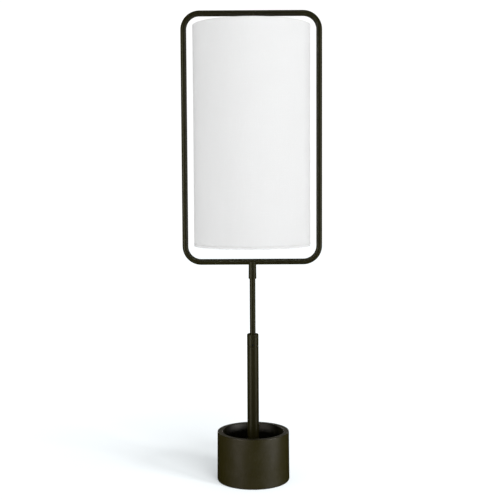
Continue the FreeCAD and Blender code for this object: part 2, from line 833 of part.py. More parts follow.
def make_shade_spider():
    """The shade's top ring, with the three arms and the washer that hang it from the top hub."""
    body = ring("shade_spider", "pipe_radius + close_gap", "fitter_radius", HOLDER_TOP, TOP_HUB_START)
    ring_rise = "(shade_end - hem_thickness - wire_radius)"
    arm_rise = f"({TOP_HUB_START} - fitter_thickness / 2)"
    spine = sketch_on(body, "YZ_Plane")
    outer = f"({RING_RADIUS} - arm_sink)"
    bent = f"({outer} - arm_climb)"
    start = FreeCAD.Vector(value("arm_start"), value(arm_rise), 0)
    knee = FreeCAD.Vector(value(bent), value(arm_rise), 0)
    end = FreeCAD.Vector(value(outer), value(ring_rise), 0)
    level = spine.addGeometry(Part.LineSegment(start, knee))
    climb = spine.addGeometry(Part.LineSegment(knee, end))
    spine.addConstraint(Sketcher.Constraint("Coincident", level, 2, climb, 1))
    pin(spine, level, 1, "DistanceX", "arm_start")
    pin(spine, level, 1, "DistanceY", arm_rise)
    pin(spine, level, 2, "DistanceX", bent)
    pin(spine, level, 2, "DistanceY", arm_rise)
    pin(spine, climb, 2, "DistanceX", outer)
    pin(spine, climb, 2, "DistanceY", ring_rise)
    profile = sketch_on(body, "XZ_Plane", "-arm_start")
    circle(profile, 0, arm_rise, "wire_radius")
    arm = body.newObject("PartDesign::AdditivePipe", "shade_spider_arm")
    arm.Profile = profile
    arm.Spine = (spine, [])
    arm.Transition = "Round corner"
    doc.recompute()
    around(body, [arm], SHADE_ARMS)
    wire_ring(body, RING_RADIUS, ring_rise)


def make_shade_bottom_ring():
    wire_ring(new_body("shade_bottom_ring"), RING_RADIUS, "shade_start + hem_thickness + wire_radius")


def make_shade_walls():
    low = "shade_start + hem_thickness"
    high = "shade_end - hem_thickness"
    ring("shade_fabric", LINER_RADIUS, FABRIC_RADIUS, low, high)
    ring("shade_liner", SHADE_INNER, LINER_RADIUS, low, high)


def make_shade_hem(name, edge, inward):
    """A strip folded over one edge of the shade; inward is the height's sign towards the shade."""
    inner = f"({SHADE_INNER} - hem_thickness)"
    fold = f"({edge} {inward} hem_thickness)"
    end = f"({edge} {inward} hem_height)"
    revolved(name, [
        (inner, edge),
        ("shade_radius", edge),
        ("shade_radius", end),
        (FABRIC_RADIUS, end),
        (FABRIC_RADIUS, fold),
        (SHADE_INNER, fold),
        (SHADE_INNER, end),
        (inner, end),
    ])


# Lampholder

def make_top_pipe():
    ring("top_pipe", "pipe_bore", "pipe_radius", TOP_PIPE_END, f"{TOP_HUB_START} + hub_step")


def make_holder_dome():
    inner = "(dome_radius - sheet_metal)"
    under = f"({DOME_TOP} - sheet_metal)"
    body = revolved("holder_dome", [
        ("pipe_radius", HOLDER_TOP),
        ("neck_radius", HOLDER_TOP),
        ("neck_radius", DOME_TOP),
        ("dome_radius", DOME_TOP),
        ("dome_radius", DOME_END),
        (inner, DOME_END),
        (inner, under),
        ("pipe_radius", under),
    ])
    rounded(body, "dome_round", ("dome_radius", DOME_TOP))
    rounded(body, "dome_round - sheet_metal", (inner, under))


def spindle_hole(body, radius):
    """Opens one side of a body for the switch's spindle."""
    hole = sketch_on(body, "YZ_Plane")
    circle(hole, 0, KEY_RISE, radius)
    pocket(body, hole, "dome_radius", along_normal=True)


def make_holder_shell():
    body = ring("holder_shell", "shell_radius - shell_wall", "shell_radius", SHELL_END, SHELL_TOP)
    spindle_hole(body, "spindle_radius + shell_hole_gap")


def make_holder_liner():
    low = f"({SHELL_END} + liner_inset)"
    body = ring("holder_liner", "liner_radius - liner_wall", "liner_radius", low, SHELL_TOP)
    spindle_hole(body, "spindle_radius + shell_hole_gap")


def make_holder_core():
    body = ring("holder_core", 0, "holder_radius", HOLDER_END, SHELL_TOP)
    spindle_hole(body, "spindle_radius + running_gap")


def make_thread_shell():
    inner = "thread_shell_radius - thread_shell_wall"
    ring("thread_shell", inner, "thread_shell_radius", f"{SHELL_END} + thread_shell_inset", HOLDER_END)


def make_centre_contact():
    body = new_body("centre_contact")
    sketch = sketch_on(body, "XY_Plane", BULB_TOP)
    outline(sketch, [
        ("-contact_tail", "-contact_half_width"),
        ("contact_tip", "-contact_half_width"),
        ("contact_tip", "contact_half_width"),
        ("-contact_tail", "contact_half_width"),
    ])
    pad(body, sketch, "contact_thickness")


def make_terminal_screws():
    screws = []
    for name, side in (("terminal_left", "-1"), ("terminal_right", "1")):
        place = (f"{side} * terminal_offset", 0, SHELL_TOP)
        screws.append(rod(name, "terminal_radius", "terminal_height", place))
    group = doc.addObject("Part::Compound", "terminal_screws")
    group.Links = screws
    keep(group, "terminal_screws")


def make_switch_spindle():
    length = "key_start + key_bore_depth - spindle_start"
    keep(rod("switch_spindle", "spindle_radius", length, ("spindle_start", 0, KEY_RISE), (1, 0, 0)),
         "switch_spindle")


def make_switch_key():
    """The flat key that fingers turn, with a round boss over the spindle."""
    body = new_body("switch_key")
    boss = sketch_on(body, "YZ_Plane", "key_start")
    circle(boss, 0, KEY_RISE, "key_boss_radius")
    pad(body, boss, "key_boss_length")
    blade = sketch_on(body, "YZ_Plane", "key_start + key_boss_length / 2")
    half = "(key_width / 2)"
    thin = "(key_thickness / 2)"
    outline(blade, [
        (f"-{half}", f"{KEY_RISE} - {thin}"),
        (half, f"{KEY_RISE} - {thin}"),
        (half, f"{KEY_RISE} + {thin}"),
        (f"-{half}", f"{KEY_RISE} + {thin}"),
    ])
    pad(body, blade, "key_length - key_boss_length / 2")
    doc.recompute()
    far = value("key_start + key_length")
    base = body.Tip
    names = []
    for index, edge in enumerate(base.Shape.Edges, start=1):
        if all(abs(vertex.X - far) < 1e-3 for vertex in edge.Vertexes):
            names.append(f"Edge{index}")
    fillet = body.newObject("PartDesign::Fillet", "switch_key_fillet")
    fillet.Base = (base, names)
    fillet.setExpression("Radius", cells("key_thickness / 2 - close_gap"))
    bore = sketch_on(body, "YZ_Plane", "key_start")
    circle(bore, 0, KEY_RISE, "spindle_radius")
    pocket(body, bore, "key_bore_depth", along_normal=True)


# Bulb

def make_bulb_cap():
    """A screw cap of thin metal with rounded ridges for its thread."""
    root = "(bulb_cap_radius - bulb_thread_depth)"
    inner = f"({root} - bulb_cap_wall)"
    thread_top = f"({BULB_CAP_TOP} - bulb_thread_start)"
    ridges = []
    for index in range(THREAD_RIDGES):
        top = f"({thread_top} - {index} * bulb_thread_pitch)"
        ridges.append((root, top))
        ridges.append(("bulb_cap_radius", f"{top} - bulb_thread_pitch / 2"))
    revolved("bulb_cap", [
        ("bulb_tip_radius", BULB_CAP_TOP),
        *ridges,
        (root, BULB_CAP_END),
        (inner, BULB_CAP_END),
        (inner, f"{thread_top} - bulb_cap_wall"),
        ("bulb_tip_radius", BULB_TIP_SEAT),
    ])


def make_bulb_tip():
    revolved("bulb_tip", [
        (0, BULB_TIP_SEAT),
        ("bulb_tip_radius", BULB_TIP_SEAT),
        ("bulb_tip_radius", BULB_CAP_TOP),
        ("bulb_tip_end_radius", BULB_TOP),
        (0, BULB_TOP),
    ])


def make_bulb_glass():
    """A pear of thin glass: a ball that blends through a hollow curve into a straight neck."""
    neck_end = f"({BULB_CAP_END} - bulb_neck_length)"
    rise = "sqrt(pow(bulb_radius + bulb_blend; 2) - pow(bulb_neck + bulb_blend; 2))"
    centre = f"({neck_end} - {rise})"
    share = "(bulb_radius / (bulb_radius + bulb_blend))"
    inner_share = "((bulb_radius - bulb_wall) / (bulb_radius + bulb_blend))"
    reach = "(bulb_neck + bulb_blend)"
    collar = "(bulb_cap_radius - bulb_thread_depth - bulb_cap_wall - bulb_collar_gap)"
    collar_top = f"({BULB_CAP_END} + bulb_collar_length)"
    revolved("bulb_glass", [
        (collar, collar_top),
        (collar, BULB_CAP_END),
        ("bulb_neck", f"{BULB_CAP_END} - bulb_thread_depth"),
        ("bulb_neck", neck_end, "bulb_blend"),
        (f"{reach} * {share}", f"{centre} + {rise} * {share}", "-bulb_radius"),
        (0, f"{centre} - bulb_radius"),
        (0, f"{centre} - bulb_radius + bulb_wall", "bulb_radius - bulb_wall"),
        (f"{reach} * {inner_share}", f"{centre} + {rise} * {inner_share}", "-(bulb_blend + bulb_wall)"),
        ("bulb_neck - bulb_wall", neck_end),
        (f"{collar} - bulb_wall", BULB_CAP_END),
        (f"{collar} - bulb_wall", collar_top),
    ])


make_felt_pad()
make_base_pot()
make_base_weight()
make_cover_plate()
make_cover_screws()
make_cord_bushing()
make_terminal_block()
make_lower_pipe()
make_foot_nut()
make_foot_washer()
make_foot_plug()
make_lower_tube()
make_tube_cap()
make_guide_bush()
make_clamp_screw()
make_upper_rod()
make_rod_stop()
make_low_hub()
make_top_hub()
make_hub_screw()
make_swivel_washer()
make_frame_half("frame_right", "1")
make_frame_half("frame_left", "-1")
make_lead_base()
make_lead_coil()
make_lead_rod()
make_lead_frame()
make_lead_cores()
make_shade_spider()
make_shade_bottom_ring()
make_shade_walls()
make_shade_hem("shade_hem_top", "shade_end", "-")
make_shade_hem("shade_hem_bottom", "shade_start", "+")
make_top_pipe()
make_holder_dome()
make_holder_shell()
make_holder_liner()
make_holder_core()
make_thread_shell()
make_centre_contact()
make_terminal_screws()
make_switch_spindle()
make_switch_key()
make_bulb_cap()
make_bulb_tip()
make_bulb_glass()
doc.recompute()

for item in doc.Objects:
    if "Invalid" in item.State or "Error" in item.State:
        raise RuntimeError(f"{item.Label} failed: {item.State}")
for node in nodes:
    if node.Shape.isNull() or not node.Shape.isValid():
        raise RuntimeError(f"{node.Label} has no valid shape")

os.makedirs("parts", exist_ok=True)
for node in nodes:
    node.Shape.exportStep(f"parts/{node.Label}.step")
    print(f"{node.Label}: {len(node.Shape.Solids)} solids, {node.Shape.Volume:.1f} mm3")
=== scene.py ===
import json
import math

import bpy
from mathutils import Matrix, Vector, noise


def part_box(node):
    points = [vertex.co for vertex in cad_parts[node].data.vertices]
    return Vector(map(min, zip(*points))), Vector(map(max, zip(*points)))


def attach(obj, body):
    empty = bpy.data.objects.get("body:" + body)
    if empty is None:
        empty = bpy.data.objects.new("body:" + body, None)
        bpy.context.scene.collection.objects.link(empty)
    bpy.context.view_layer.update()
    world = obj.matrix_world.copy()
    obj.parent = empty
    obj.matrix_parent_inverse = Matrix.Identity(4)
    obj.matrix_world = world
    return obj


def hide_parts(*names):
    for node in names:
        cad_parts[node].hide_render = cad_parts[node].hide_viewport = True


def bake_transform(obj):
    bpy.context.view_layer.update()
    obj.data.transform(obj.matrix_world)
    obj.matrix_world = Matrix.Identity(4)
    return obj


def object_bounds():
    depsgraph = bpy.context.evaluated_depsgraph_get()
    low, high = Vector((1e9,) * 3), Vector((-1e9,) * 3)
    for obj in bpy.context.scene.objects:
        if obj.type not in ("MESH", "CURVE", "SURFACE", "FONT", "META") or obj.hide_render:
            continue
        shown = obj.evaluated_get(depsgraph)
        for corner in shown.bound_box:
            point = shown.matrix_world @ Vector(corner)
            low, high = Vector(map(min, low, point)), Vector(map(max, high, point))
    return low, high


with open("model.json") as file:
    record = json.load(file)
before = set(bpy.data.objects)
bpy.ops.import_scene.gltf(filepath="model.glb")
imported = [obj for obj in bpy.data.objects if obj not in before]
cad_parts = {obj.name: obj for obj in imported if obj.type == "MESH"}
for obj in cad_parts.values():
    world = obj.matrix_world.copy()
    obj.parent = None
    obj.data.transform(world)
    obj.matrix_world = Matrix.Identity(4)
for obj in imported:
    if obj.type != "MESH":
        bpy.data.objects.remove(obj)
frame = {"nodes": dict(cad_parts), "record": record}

MM = 0.001
FULL_TURN = 2 * math.pi
QUARTER_TURN = math.pi / 2
NODES = frame["nodes"]
CAD_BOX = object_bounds()

# The lamp's own sizes, read from the frame.
SHADE_LOW, SHADE_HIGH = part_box("shade_fabric")
SHADE_HEIGHT = SHADE_HIGH.z - SHADE_LOW.z
CLOTH_RADIUS = SHADE_HIGH.x
LINER_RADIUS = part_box("shade_liner")[1].x
HEM_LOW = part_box("shade_hem_bottom")[0]
HEM_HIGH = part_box("shade_hem_top")[1]
HEM_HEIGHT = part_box("shade_hem_bottom")[1].z - HEM_LOW.z
RING_LOW, RING_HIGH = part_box("shade_bottom_ring")
RING_OUTER = RING_HIGH.x
RING_WIRE = (RING_HIGH.z - RING_LOW.z) / 2
TUBE_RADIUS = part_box("frame_left")[1].y

# Sizes that no node's box shows: the hubs' plain part, the pot's inside and the shade's backing.
HUB_RADIUS = 6.35 * MM
POT_HOLLOW = 52.9 * MM
LINER_THICKNESS = 0.5 * MM

# The cloth of the shade, and where its ends lap.
CLOTH_THICKNESS = 0.4 * MM
LAP = 12 * MM
LAP_RAMP = 5 * MM
SEAM = math.radians(90)


# ---------------------------------------------------------------- mesh helpers

def smooth_step(x):
    """0 below 0, 1 above 1 and a smooth rise between."""
    x = min(max(x, 0.0), 1.0)
    return x * x * (3 - 2 * x)


def round_point(angle, radius, height):
    return Vector((radius * math.cos(angle), radius * math.sin(angle), height))


def round_noise(angle, radius, height):
    """Unevenness from -1 to 1, the same on every run, which closes up after a full turn."""
    return noise.noise(round_point(angle, radius, height))


def skin(name, rows, loop_columns=False, uv=None, end_caps=False):
    """A smooth mesh over rows of points, each row joined to the next."""
    width = len(rows[0])
    faces = []
    corners = []
    for row in range(len(rows) - 1):
        here = row * width
        above = here + width
        for column in range(width if loop_columns else width - 1):
            over = (column + 1) % width
            faces.append((here + column, here + over, above + over, above + column))
            corners.append(((row, column), (row, column + 1), (row + 1, column + 1), (row + 1, column)))
    if end_caps:
        faces.append(tuple(reversed(range(width))))
        faces.append(tuple(range((len(rows) - 1) * width, len(rows) * width)))
    mesh = bpy.data.meshes.new(name)
    mesh.from_pydata([tuple(point) for row in rows for point in row], [], faces)
    if uv:
        layer = mesh.uv_layers.new(name="metres")
        for polygon, places in zip(mesh.polygons, corners):
            for loop, place in zip(polygon.loop_indices, places):
                layer.data[loop].uv = uv(*place)
    mesh.validate()
    mesh.shade_smooth()
    piece = bpy.data.objects.new(name, mesh)
    bpy.context.scene.collection.objects.link(piece)
    return piece


def thicken(piece, thickness, offset=-1.0):
    """Gives a sheet its thickness: inward at an offset of -1, and to both sides at 0."""
    solid = piece.modifiers.new("thickness", "SOLIDIFY")
    solid.thickness = thickness
    solid.offset = offset
    solid.use_even_offset = True


def joined(name, pieces):
    """One object out of several."""
    bpy.ops.object.select_all(action="DESELECT")
    for piece in pieces:
        piece.select_set(True)
    bpy.context.view_layer.objects.active = pieces[0]
    bpy.ops.object.join()
    whole = bpy.context.view_layer.objects.active
    whole.name = name
    return whole


def finished(piece, body, material, slot, *replaced):
    """A built piece rides on its body, wears its material and stands for CAD nodes."""
    piece.data.materials.clear()
    piece.data.materials.append(material)
    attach(piece, body)
    if replaced:
        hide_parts(*replaced)
    return piece


# ------------------------------------------------------------ material helpers

class Paint:
    """A material in the making. Constants sit on the shader's own sockets, and what varies is linked.
    Sizes are in metres."""

    def __init__(self, name, **constants):
        self.material = bpy.data.materials.new(name)
        self.material.use_nodes = True
        self.tree = self.material.node_tree
        self.shader = self.tree.nodes["Principled BSDF"]
        for socket, setting in constants.items():
            self.shader.inputs[socket.replace("_", " ")].default_value = setting
        self.place = self.node("ShaderNodeTexCoord").outputs["Object"]

    def node(self, kind, **settings):
        made = self.tree.nodes.new(kind)
        for key, setting in settings.items():
            setattr(made, key, setting)
        return made

    def link(self, source, target):
        self.tree.links.new(source, target)

    def feed(self, socket, source):
        self.link(source, self.shader.inputs[socket])

    def stretched(self, place, scale, turn=(0, 0, 0)):
        mapping = self.node("ShaderNodeMapping")
        mapping.inputs["Scale"].default_value = scale
        mapping.inputs["Rotation"].default_value = turn
        self.link(place, mapping.inputs["Vector"])
        return mapping.outputs["Vector"]

    def noise(self, size, detail=2.0, roughness=0.5, place=None, distortion=0.0):
        """Noise whose features are about that size across."""
        made = self.node("ShaderNodeTexNoise")
        made.inputs["Scale"].default_value = 1 / size
        made.inputs["Detail"].default_value = detail
        made.inputs["Roughness"].default_value = roughness
        made.inputs["Distortion"].default_value = distortion
        self.link(place or self.place, made.inputs["Vector"])
        return made.outputs["Fac"]

    def cells(self, size):
        """A random grey for each cell of about that size."""
        made = self.node("ShaderNodeTexVoronoi")
        made.inputs["Scale"].default_value = 1 / size
        self.link(self.place, made.inputs["Vector"])
        grey = self.node("ShaderNodeRGBToBW")
        self.link(made.outputs["Color"], grey.inputs["Color"])
        return grey.outputs["Val"]

    def waves(self, size, axis, place=None, distortion=0.0):
        """Even bands across an axis, one for each such size."""
        made = self.node("ShaderNodeTexWave", wave_type="BANDS", bands_direction=axis, wave_profile="SIN")
        # The node takes the sine of 20 times the place.
        made.inputs["Scale"].default_value = FULL_TURN / 20 / size
        made.inputs["Distortion"].default_value = distortion
        made.inputs["Detail"].default_value = 0.0
        self.link(place or self.place, made.inputs["Vector"])
        return made.outputs["Fac"]

    def combine(self, operation, first, second):
        """Two values, or a value and a number, put together by a Math node."""
        made = self.node("ShaderNodeMath", operation=operation)
        for socket, term in zip(made.inputs, (first, second)):
            if isinstance(term, (int, float)):
                socket.default_value = term
            else:
                self.link(term, socket)
        return made.outputs[0]

    def plus(self, first, second):
        return self.combine("ADD", first, second)

    def times(self, first, second):
        return self.combine("MULTIPLY", first, second)

    def ramp(self, source, low, high, start=0.0, end=1.0):
        """Runs from start to end while the source runs from low to high."""
        made = self.node("ShaderNodeMapRange", interpolation_type="SMOOTHSTEP")
        made.inputs["From Min"].default_value = low
        made.inputs["From Max"].default_value = high
        made.inputs["To Min"].default_value = start
        made.inputs["To Max"].default_value = end
        self.link(source, made.inputs["Value"])
        return made.outputs["Result"]

    def spread(self, source, start, end):
        """Runs from start to end over the values that a noise mostly has."""
        return self.ramp(source, 0.3, 0.7, start, end)

    def blend(self, source, first, second):
        """A colour between two, by the source."""
        made = self.node("ShaderNodeMix", data_type="RGBA")
        self.link(source, made.inputs[0])
        for socket, colour in ((made.inputs[6], first), (made.inputs[7], second)):
            if isinstance(colour, tuple):
                socket.default_value = (*colour, 1)
            else:
                self.link(colour, socket)
        return made.outputs[2]

    def bump(self, source, height, before=None):
        """A relief of that height, on top of the one before."""
        made = self.node("ShaderNodeBump")
        made.inputs["Strength"].default_value = 1.0
        made.inputs["Distance"].default_value = height
        self.link(source, made.inputs["Height"])
        if before:
            self.link(before, made.inputs["Normal"])
        return made.outputs["Normal"]

    def edges(self, radius):
        """About 1 on an outer or inner edge of that radius, and 0 on an even surface."""
        bevel = self.node("ShaderNodeBevel", samples=4)
        bevel.inputs["Radius"].default_value = radius
        own = self.node("ShaderNodeNewGeometry").outputs["Normal"]
        turn = self.node("ShaderNodeVectorMath", operation="DOT_PRODUCT")
        self.link(bevel.outputs["Normal"], turn.inputs[0])
        self.link(own, turn.inputs[1])
        return self.ramp(turn.outputs["Value"], 0.99, 0.9)


# ------------------------------------------------------------------- materials

def bronze_paint(name="bronze_paint", hollow=None):
    """Oil-rubbed bronze: a satin, nearly black olive brown, cloudy, with a fine orange peel and rubbed
    edges. Inside a hollow of that radius the colour is darkened by painted shade, and the paint is made
    duller."""
    dark = (0.0118, 0.0100, 0.0004)
    light = (0.0165, 0.0140, 0.0012)
    speck = (0.036, 0.030, 0.013)
    cup_shade_colour = (0.0055, 0.0054, 0.0001)
    rubbed = (0.115, 0.082, 0.050)
    paint = Paint(name, Specular_IOR_Level=0.45)
    clouds = paint.noise(35 * MM, detail=4, roughness=0.55)
    tone = paint.blend(clouds, dark, light)
    flecks = paint.ramp(paint.noise(0.9 * MM, detail=1), 0.56, 0.74, end=0.4)
    tone = paint.blend(flecks, tone, speck)
    # Painted shade: inside the hollow the colour darkens to a near-black tone, standing in for the shade
    # that falls in the deep cup.
    if hollow:
        from_axis = paint.node("ShaderNodeVectorMath", operation="LENGTH")
        paint.link(paint.stretched(paint.place, (1.0, 1.0, 0.0)), from_axis.inputs[0])
        edge = hollow + 0.2 * MM
        cup_shade_mask = paint.ramp(from_axis.outputs["Value"], edge, edge + 1.0 * MM, 1.0, 0.0)
        tone = paint.blend(cup_shade_mask, tone, cup_shade_colour)
    patches = paint.ramp(paint.noise(6 * MM, detail=5), 0.42, 0.66, end=0.55)
    worn = paint.times(paint.edges(0.5 * MM), patches)
    paint.feed("Base Color", paint.blend(worn, tone, rubbed))
    rough = paint.spread(paint.noise(20 * MM, detail=5, roughness=0.65), 0.32, 0.40)
    # The painted shade's mask also makes the inside of the hollow a little rougher.
    if hollow:
        rough = paint.plus(rough, paint.ramp(cup_shade_mask, 0, 1, end=0.10))
    paint.feed("Roughness", paint.plus(rough, paint.ramp(flecks, 0, 1, end=0.05)))
    paint.feed("Metallic", paint.ramp(worn, 0.0, 0.55, end=0.6))
    peel = paint.bump(paint.noise(1.6 * MM, detail=2), 0.035 * MM)
    paint.feed("Normal", paint.bump(paint.noise(0.35 * MM, detail=1), 0.006 * MM, peel))
    return paint.material


def black_screw():
    """Blackened steel with brighter edges where a driver has touched it."""
    dark = (0.0035, 0.0032, 0.0020)
    light = (0.010, 0.009, 0.007)
    bare = (0.060, 0.055, 0.050)
    paint = Paint("black_screw", Specular_IOR_Level=0.5)
    tone = paint.blend(paint.noise(1.2 * MM, detail=4), dark, light)
    patches = paint.ramp(paint.noise(0.6 * MM, detail=3), 0.4, 0.7, end=0.5)
    worn = paint.times(paint.edges(0.12 * MM), patches)
    paint.feed("Base Color", paint.blend(worn, tone, bare))
    paint.feed("Metallic", paint.ramp(worn, 0, 0.8, end=0.6))
    paint.feed("Roughness", paint.spread(paint.noise(0.8 * MM, detail=3), 0.45, 0.6))
    paint.feed("Normal", paint.bump(paint.noise(0.2 * MM, detail=2), 0.004 * MM))
    return paint.material


def cast_iron():
    """Raw grey iron with a sandy skin and rust in patches."""
    dark = (0.055, 0.055, 0.056)
    light = (0.145, 0.143, 0.140)
    rust = (0.110, 0.052, 0.028)
    paint = Paint("cast_iron", Metallic=0.55)
    grit = paint.noise(1.1 * MM, detail=6, roughness=0.7)
    rusty = paint.ramp(paint.noise(11 * MM, detail=6, roughness=0.7), 0.54, 0.70, end=0.75)
    paint.feed("Base Color", paint.blend(rusty, paint.blend(grit, dark, light), rust))
    paint.feed("Roughness", paint.spread(grit, 0.55, 0.8))
    paint.feed("Normal", paint.bump(grit, 0.25 * MM))
    return paint.material


def zinc_plate():
    """Bright zinc plating: spangled, slightly blue, with rolled marks and dull smears."""
    blue_grey = (0.52, 0.53, 0.54)
    bright = (0.66, 0.66, 0.655)
    dull = (0.43, 0.42, 0.40)
    paint = Paint("zinc_plate", Metallic=1.0)
    tone = paint.blend(paint.cells(3.2 * MM), blue_grey, bright)
    smear = paint.ramp(paint.noise(15 * MM, detail=5), 0.5, 0.72, end=0.6)
    paint.feed("Base Color", paint.blend(smear, tone, dull))
    marks = paint.noise(0.7 * MM, detail=3, place=paint.stretched(paint.place, (1.0, 0.05, 1.0)))
    rough = paint.spread(marks, 0.24, 0.36)
    paint.feed("Roughness", paint.plus(rough, paint.ramp(smear, 0, 1, end=0.2)))
    paint.feed("Normal", paint.bump(marks, 0.008 * MM))
    return paint.material


def felt():
    """Matted dark wool with loose fibres that lie two ways."""
    dark = (0.020, 0.018, 0.016)
    light = (0.075, 0.069, 0.062)
    fibre = (0.125, 0.116, 0.105)
    drawn = 0.14
    paint = Paint("felt", Roughness=0.95, Specular_IOR_Level=0.15, Sheen_Weight=0.35, Sheen_Roughness=0.5)
    mat = paint.noise(1.5 * MM, detail=6, roughness=0.75, distortion=1.2)
    one_way = paint.stretched(paint.place, (1.0, drawn, 1.0), (0, 0, 0.7))
    other_way = paint.stretched(paint.place, (drawn, 1.0, 1.0), (0, 0, 0.2))
    strands = paint.noise(0.6 * MM, detail=3, place=one_way)
    crossed = paint.noise(0.6 * MM, detail=3, place=other_way)
    fibres = paint.combine("MAXIMUM", strands, crossed)
    loose = paint.ramp(fibres, 0.58, 0.76, end=0.6)
    paint.feed("Base Color", paint.blend(loose, paint.blend(mat, dark, light), fibre))
    paint.feed("Normal", paint.bump(fibres, 0.12 * MM, paint.bump(mat, 0.3 * MM)))
    return paint.material


def black_phenolic():
    """Moulded black phenolic with a little flock in it."""
    black = (0.014, 0.013, 0.012)
    brown = (0.040, 0.036, 0.031)
    paint = Paint("black_phenolic", Specular_IOR_Level=0.5)
    flock = paint.ramp(paint.noise(0.5 * MM, detail=4), 0.58, 0.72, end=0.5)
    paint.feed("Base Color", paint.blend(flock, black, brown))
    paint.feed("Roughness", paint.spread(paint.noise(4 * MM, detail=4), 0.26, 0.42))
    paint.feed("Normal", paint.bump(paint.noise(0.9 * MM, detail=3), 0.012 * MM))
    return paint.material


def key_plastic():
    """Glossy dark brown plastic with hairline scratches."""
    dark = (0.012, 0.010, 0.008)
    light = (0.034, 0.025, 0.018)
    paint = Paint("key_plastic", Specular_IOR_Level=0.55, Coat_Weight=0.3, Coat_Roughness=0.12)
    swirl = paint.noise(6 * MM, detail=5, distortion=1.8)
    paint.feed("Base Color", paint.blend(swirl, dark, light))
    along = paint.stretched(paint.place, (0.05, 1.0, 1.0), (0.3, 0.2, 0.5))
    hairs = paint.noise(0.5 * MM, detail=2, place=along)
    paint.feed("Roughness", paint.ramp(hairs, 0.45, 0.7, 0.16, 0.36))
    paint.feed("Normal", paint.bump(hairs, 0.004 * MM))
    return paint.material


def white_nylon():
    """Milky nylon with a matt moulded skin."""
    cream = (0.70, 0.69, 0.655)
    white = (0.82, 0.815, 0.79)
    paint = Paint("white_nylon", Subsurface_Weight=0.15, Subsurface_Scale=2 * MM, Specular_IOR_Level=0.45)
    paint.feed("Base Color", paint.blend(paint.noise(6 * MM, detail=4), cream, white))
    paint.feed("Roughness", paint.spread(paint.noise(1.2 * MM, detail=3), 0.38, 0.55))
    paint.feed("Normal", paint.bump(paint.noise(0.6 * MM, detail=3), 0.01 * MM))
    return paint.material


def lead_sleeve():
    """The lead's soft off-white sleeve, with a faint wave from its twisted cores."""
    dark = (0.62, 0.60, 0.545)
    light = (0.75, 0.735, 0.69)
    paint = Paint("lead_sleeve", Specular_IOR_Level=0.5)
    wave = paint.noise(4 * MM, detail=2, distortion=0.6)
    paint.feed("Base Color", paint.blend(wave, dark, light))
    paint.feed("Roughness", paint.spread(paint.noise(1.5 * MM, detail=4), 0.30, 0.46))
    paint.feed("Normal", paint.bump(wave, 0.05 * MM))
    return paint.material


def brass():
    """Drawn brass, tarnished in clouds, with fine marks round its axis and brighter edges."""
    clean = (0.72, 0.52, 0.235)
    tarnished = (0.40, 0.265, 0.115)
    polished = (0.82, 0.64, 0.34)
    paint = Paint("brass", Metallic=1.0)
    tarnish = paint.ramp(paint.noise(22 * MM, detail=4), 0.40, 0.72, end=0.45)
    tone = paint.blend(tarnish, clean, tarnished)
    paint.feed("Base Color", paint.blend(paint.edges(0.4 * MM), tone, polished))
    marks = paint.noise(0.5 * MM, detail=3, place=paint.stretched(paint.place, (0.1, 0.1, 1.0)))
    rough = paint.spread(marks, 0.20, 0.32)
    paint.feed("Roughness", paint.plus(rough, paint.ramp(tarnish, 0, 1, end=0.14)))
    paint.feed("Normal", paint.bump(marks, 0.008 * MM))
    return paint.material


def card_tube():
    """Grey-brown wound card with fibres and dark ply lines."""
    dark = (0.125, 0.102, 0.080)
    light = (0.245, 0.210, 0.170)
    line = (0.070, 0.058, 0.046)
    paint = Paint("card_tube", Roughness=0.92, Specular_IOR_Level=0.2)
    pulp = paint.noise(1.2 * MM, detail=6, roughness=0.7)
    ply = paint.ramp(paint.waves(9 * MM, "Z", distortion=0.4), 0.93, 1.0, end=0.5)
    paint.feed("Base Color", paint.blend(ply, paint.blend(pulp, dark, light), line))
    paint.feed("Normal", paint.bump(pulp, 0.08 * MM))
    return paint.material


def cap_metal():
    """The bulb's thin pressed metal cap, with drawn lines and solder-dulled patches."""
    bright = (0.70, 0.70, 0.69)
    dulled = (0.47, 0.46, 0.44)
    paint = Paint("cap_metal", Metallic=1.0)
    dull = paint.ramp(paint.noise(6 * MM, detail=5), 0.48, 0.7, end=0.8)
    paint.feed("Base Color", paint.blend(dull, bright, dulled))
    lines = paint.noise(0.4 * MM, detail=2, place=paint.stretched(paint.place, (0.06, 0.06, 1.0)))
    rough = paint.spread(lines, 0.22, 0.36)
    paint.feed("Roughness", paint.plus(rough, paint.ramp(dull, 0, 1, end=0.18)))
    paint.feed("Normal", paint.bump(lines, 0.008 * MM))
    return paint.material


def tip_glass():
    """The dark glassy insulator round the bulb's end contact."""
    dark = (0.012, 0.012, 0.016)
    light = (0.045, 0.040, 0.052)
    paint = Paint("tip_glass", Coat_Weight=0.6, Coat_Roughness=0.08)
    swirl = paint.noise(2 * MM, detail=5, distortion=2.0)
    paint.feed("Base Color", paint.blend(swirl, dark, light))
    paint.feed("Roughness", paint.spread(swirl, 0.12, 0.3))
    paint.feed("Normal", paint.bump(swirl, 0.04 * MM))
    return paint.material


def bulb_frost(low, high):
    """Soft white glass: an even inner coat that thins to a greyer ring by the cap, under a clear gloss.
    The bulb reaches from low to high."""
    grey = (0.845, 0.85, 0.845)
    white = (0.905, 0.905, 0.895)
    thin = (0.50, 0.51, 0.51)
    paint = Paint("bulb_frost", Specular_IOR_Level=0.5, Coat_Weight=0.7, Coat_Roughness=0.06)
    split = paint.node("ShaderNodeSeparateXYZ")
    paint.link(paint.place, split.inputs["Vector"])
    height = split.outputs["Z"]
    neck = paint.ramp(height, high - 12 * MM, high)
    coat = paint.blend(paint.noise(12 * MM, detail=3), grey, white)
    paint.feed("Base Color", paint.blend(neck, coat, thin))
    rough = paint.ramp(height, low, low + 30 * MM, 0.30, 0.38)
    paint.feed("Roughness", paint.plus(rough, paint.spread(paint.noise(0.6 * MM, detail=3), 0.0, 0.12)))
    return paint.material


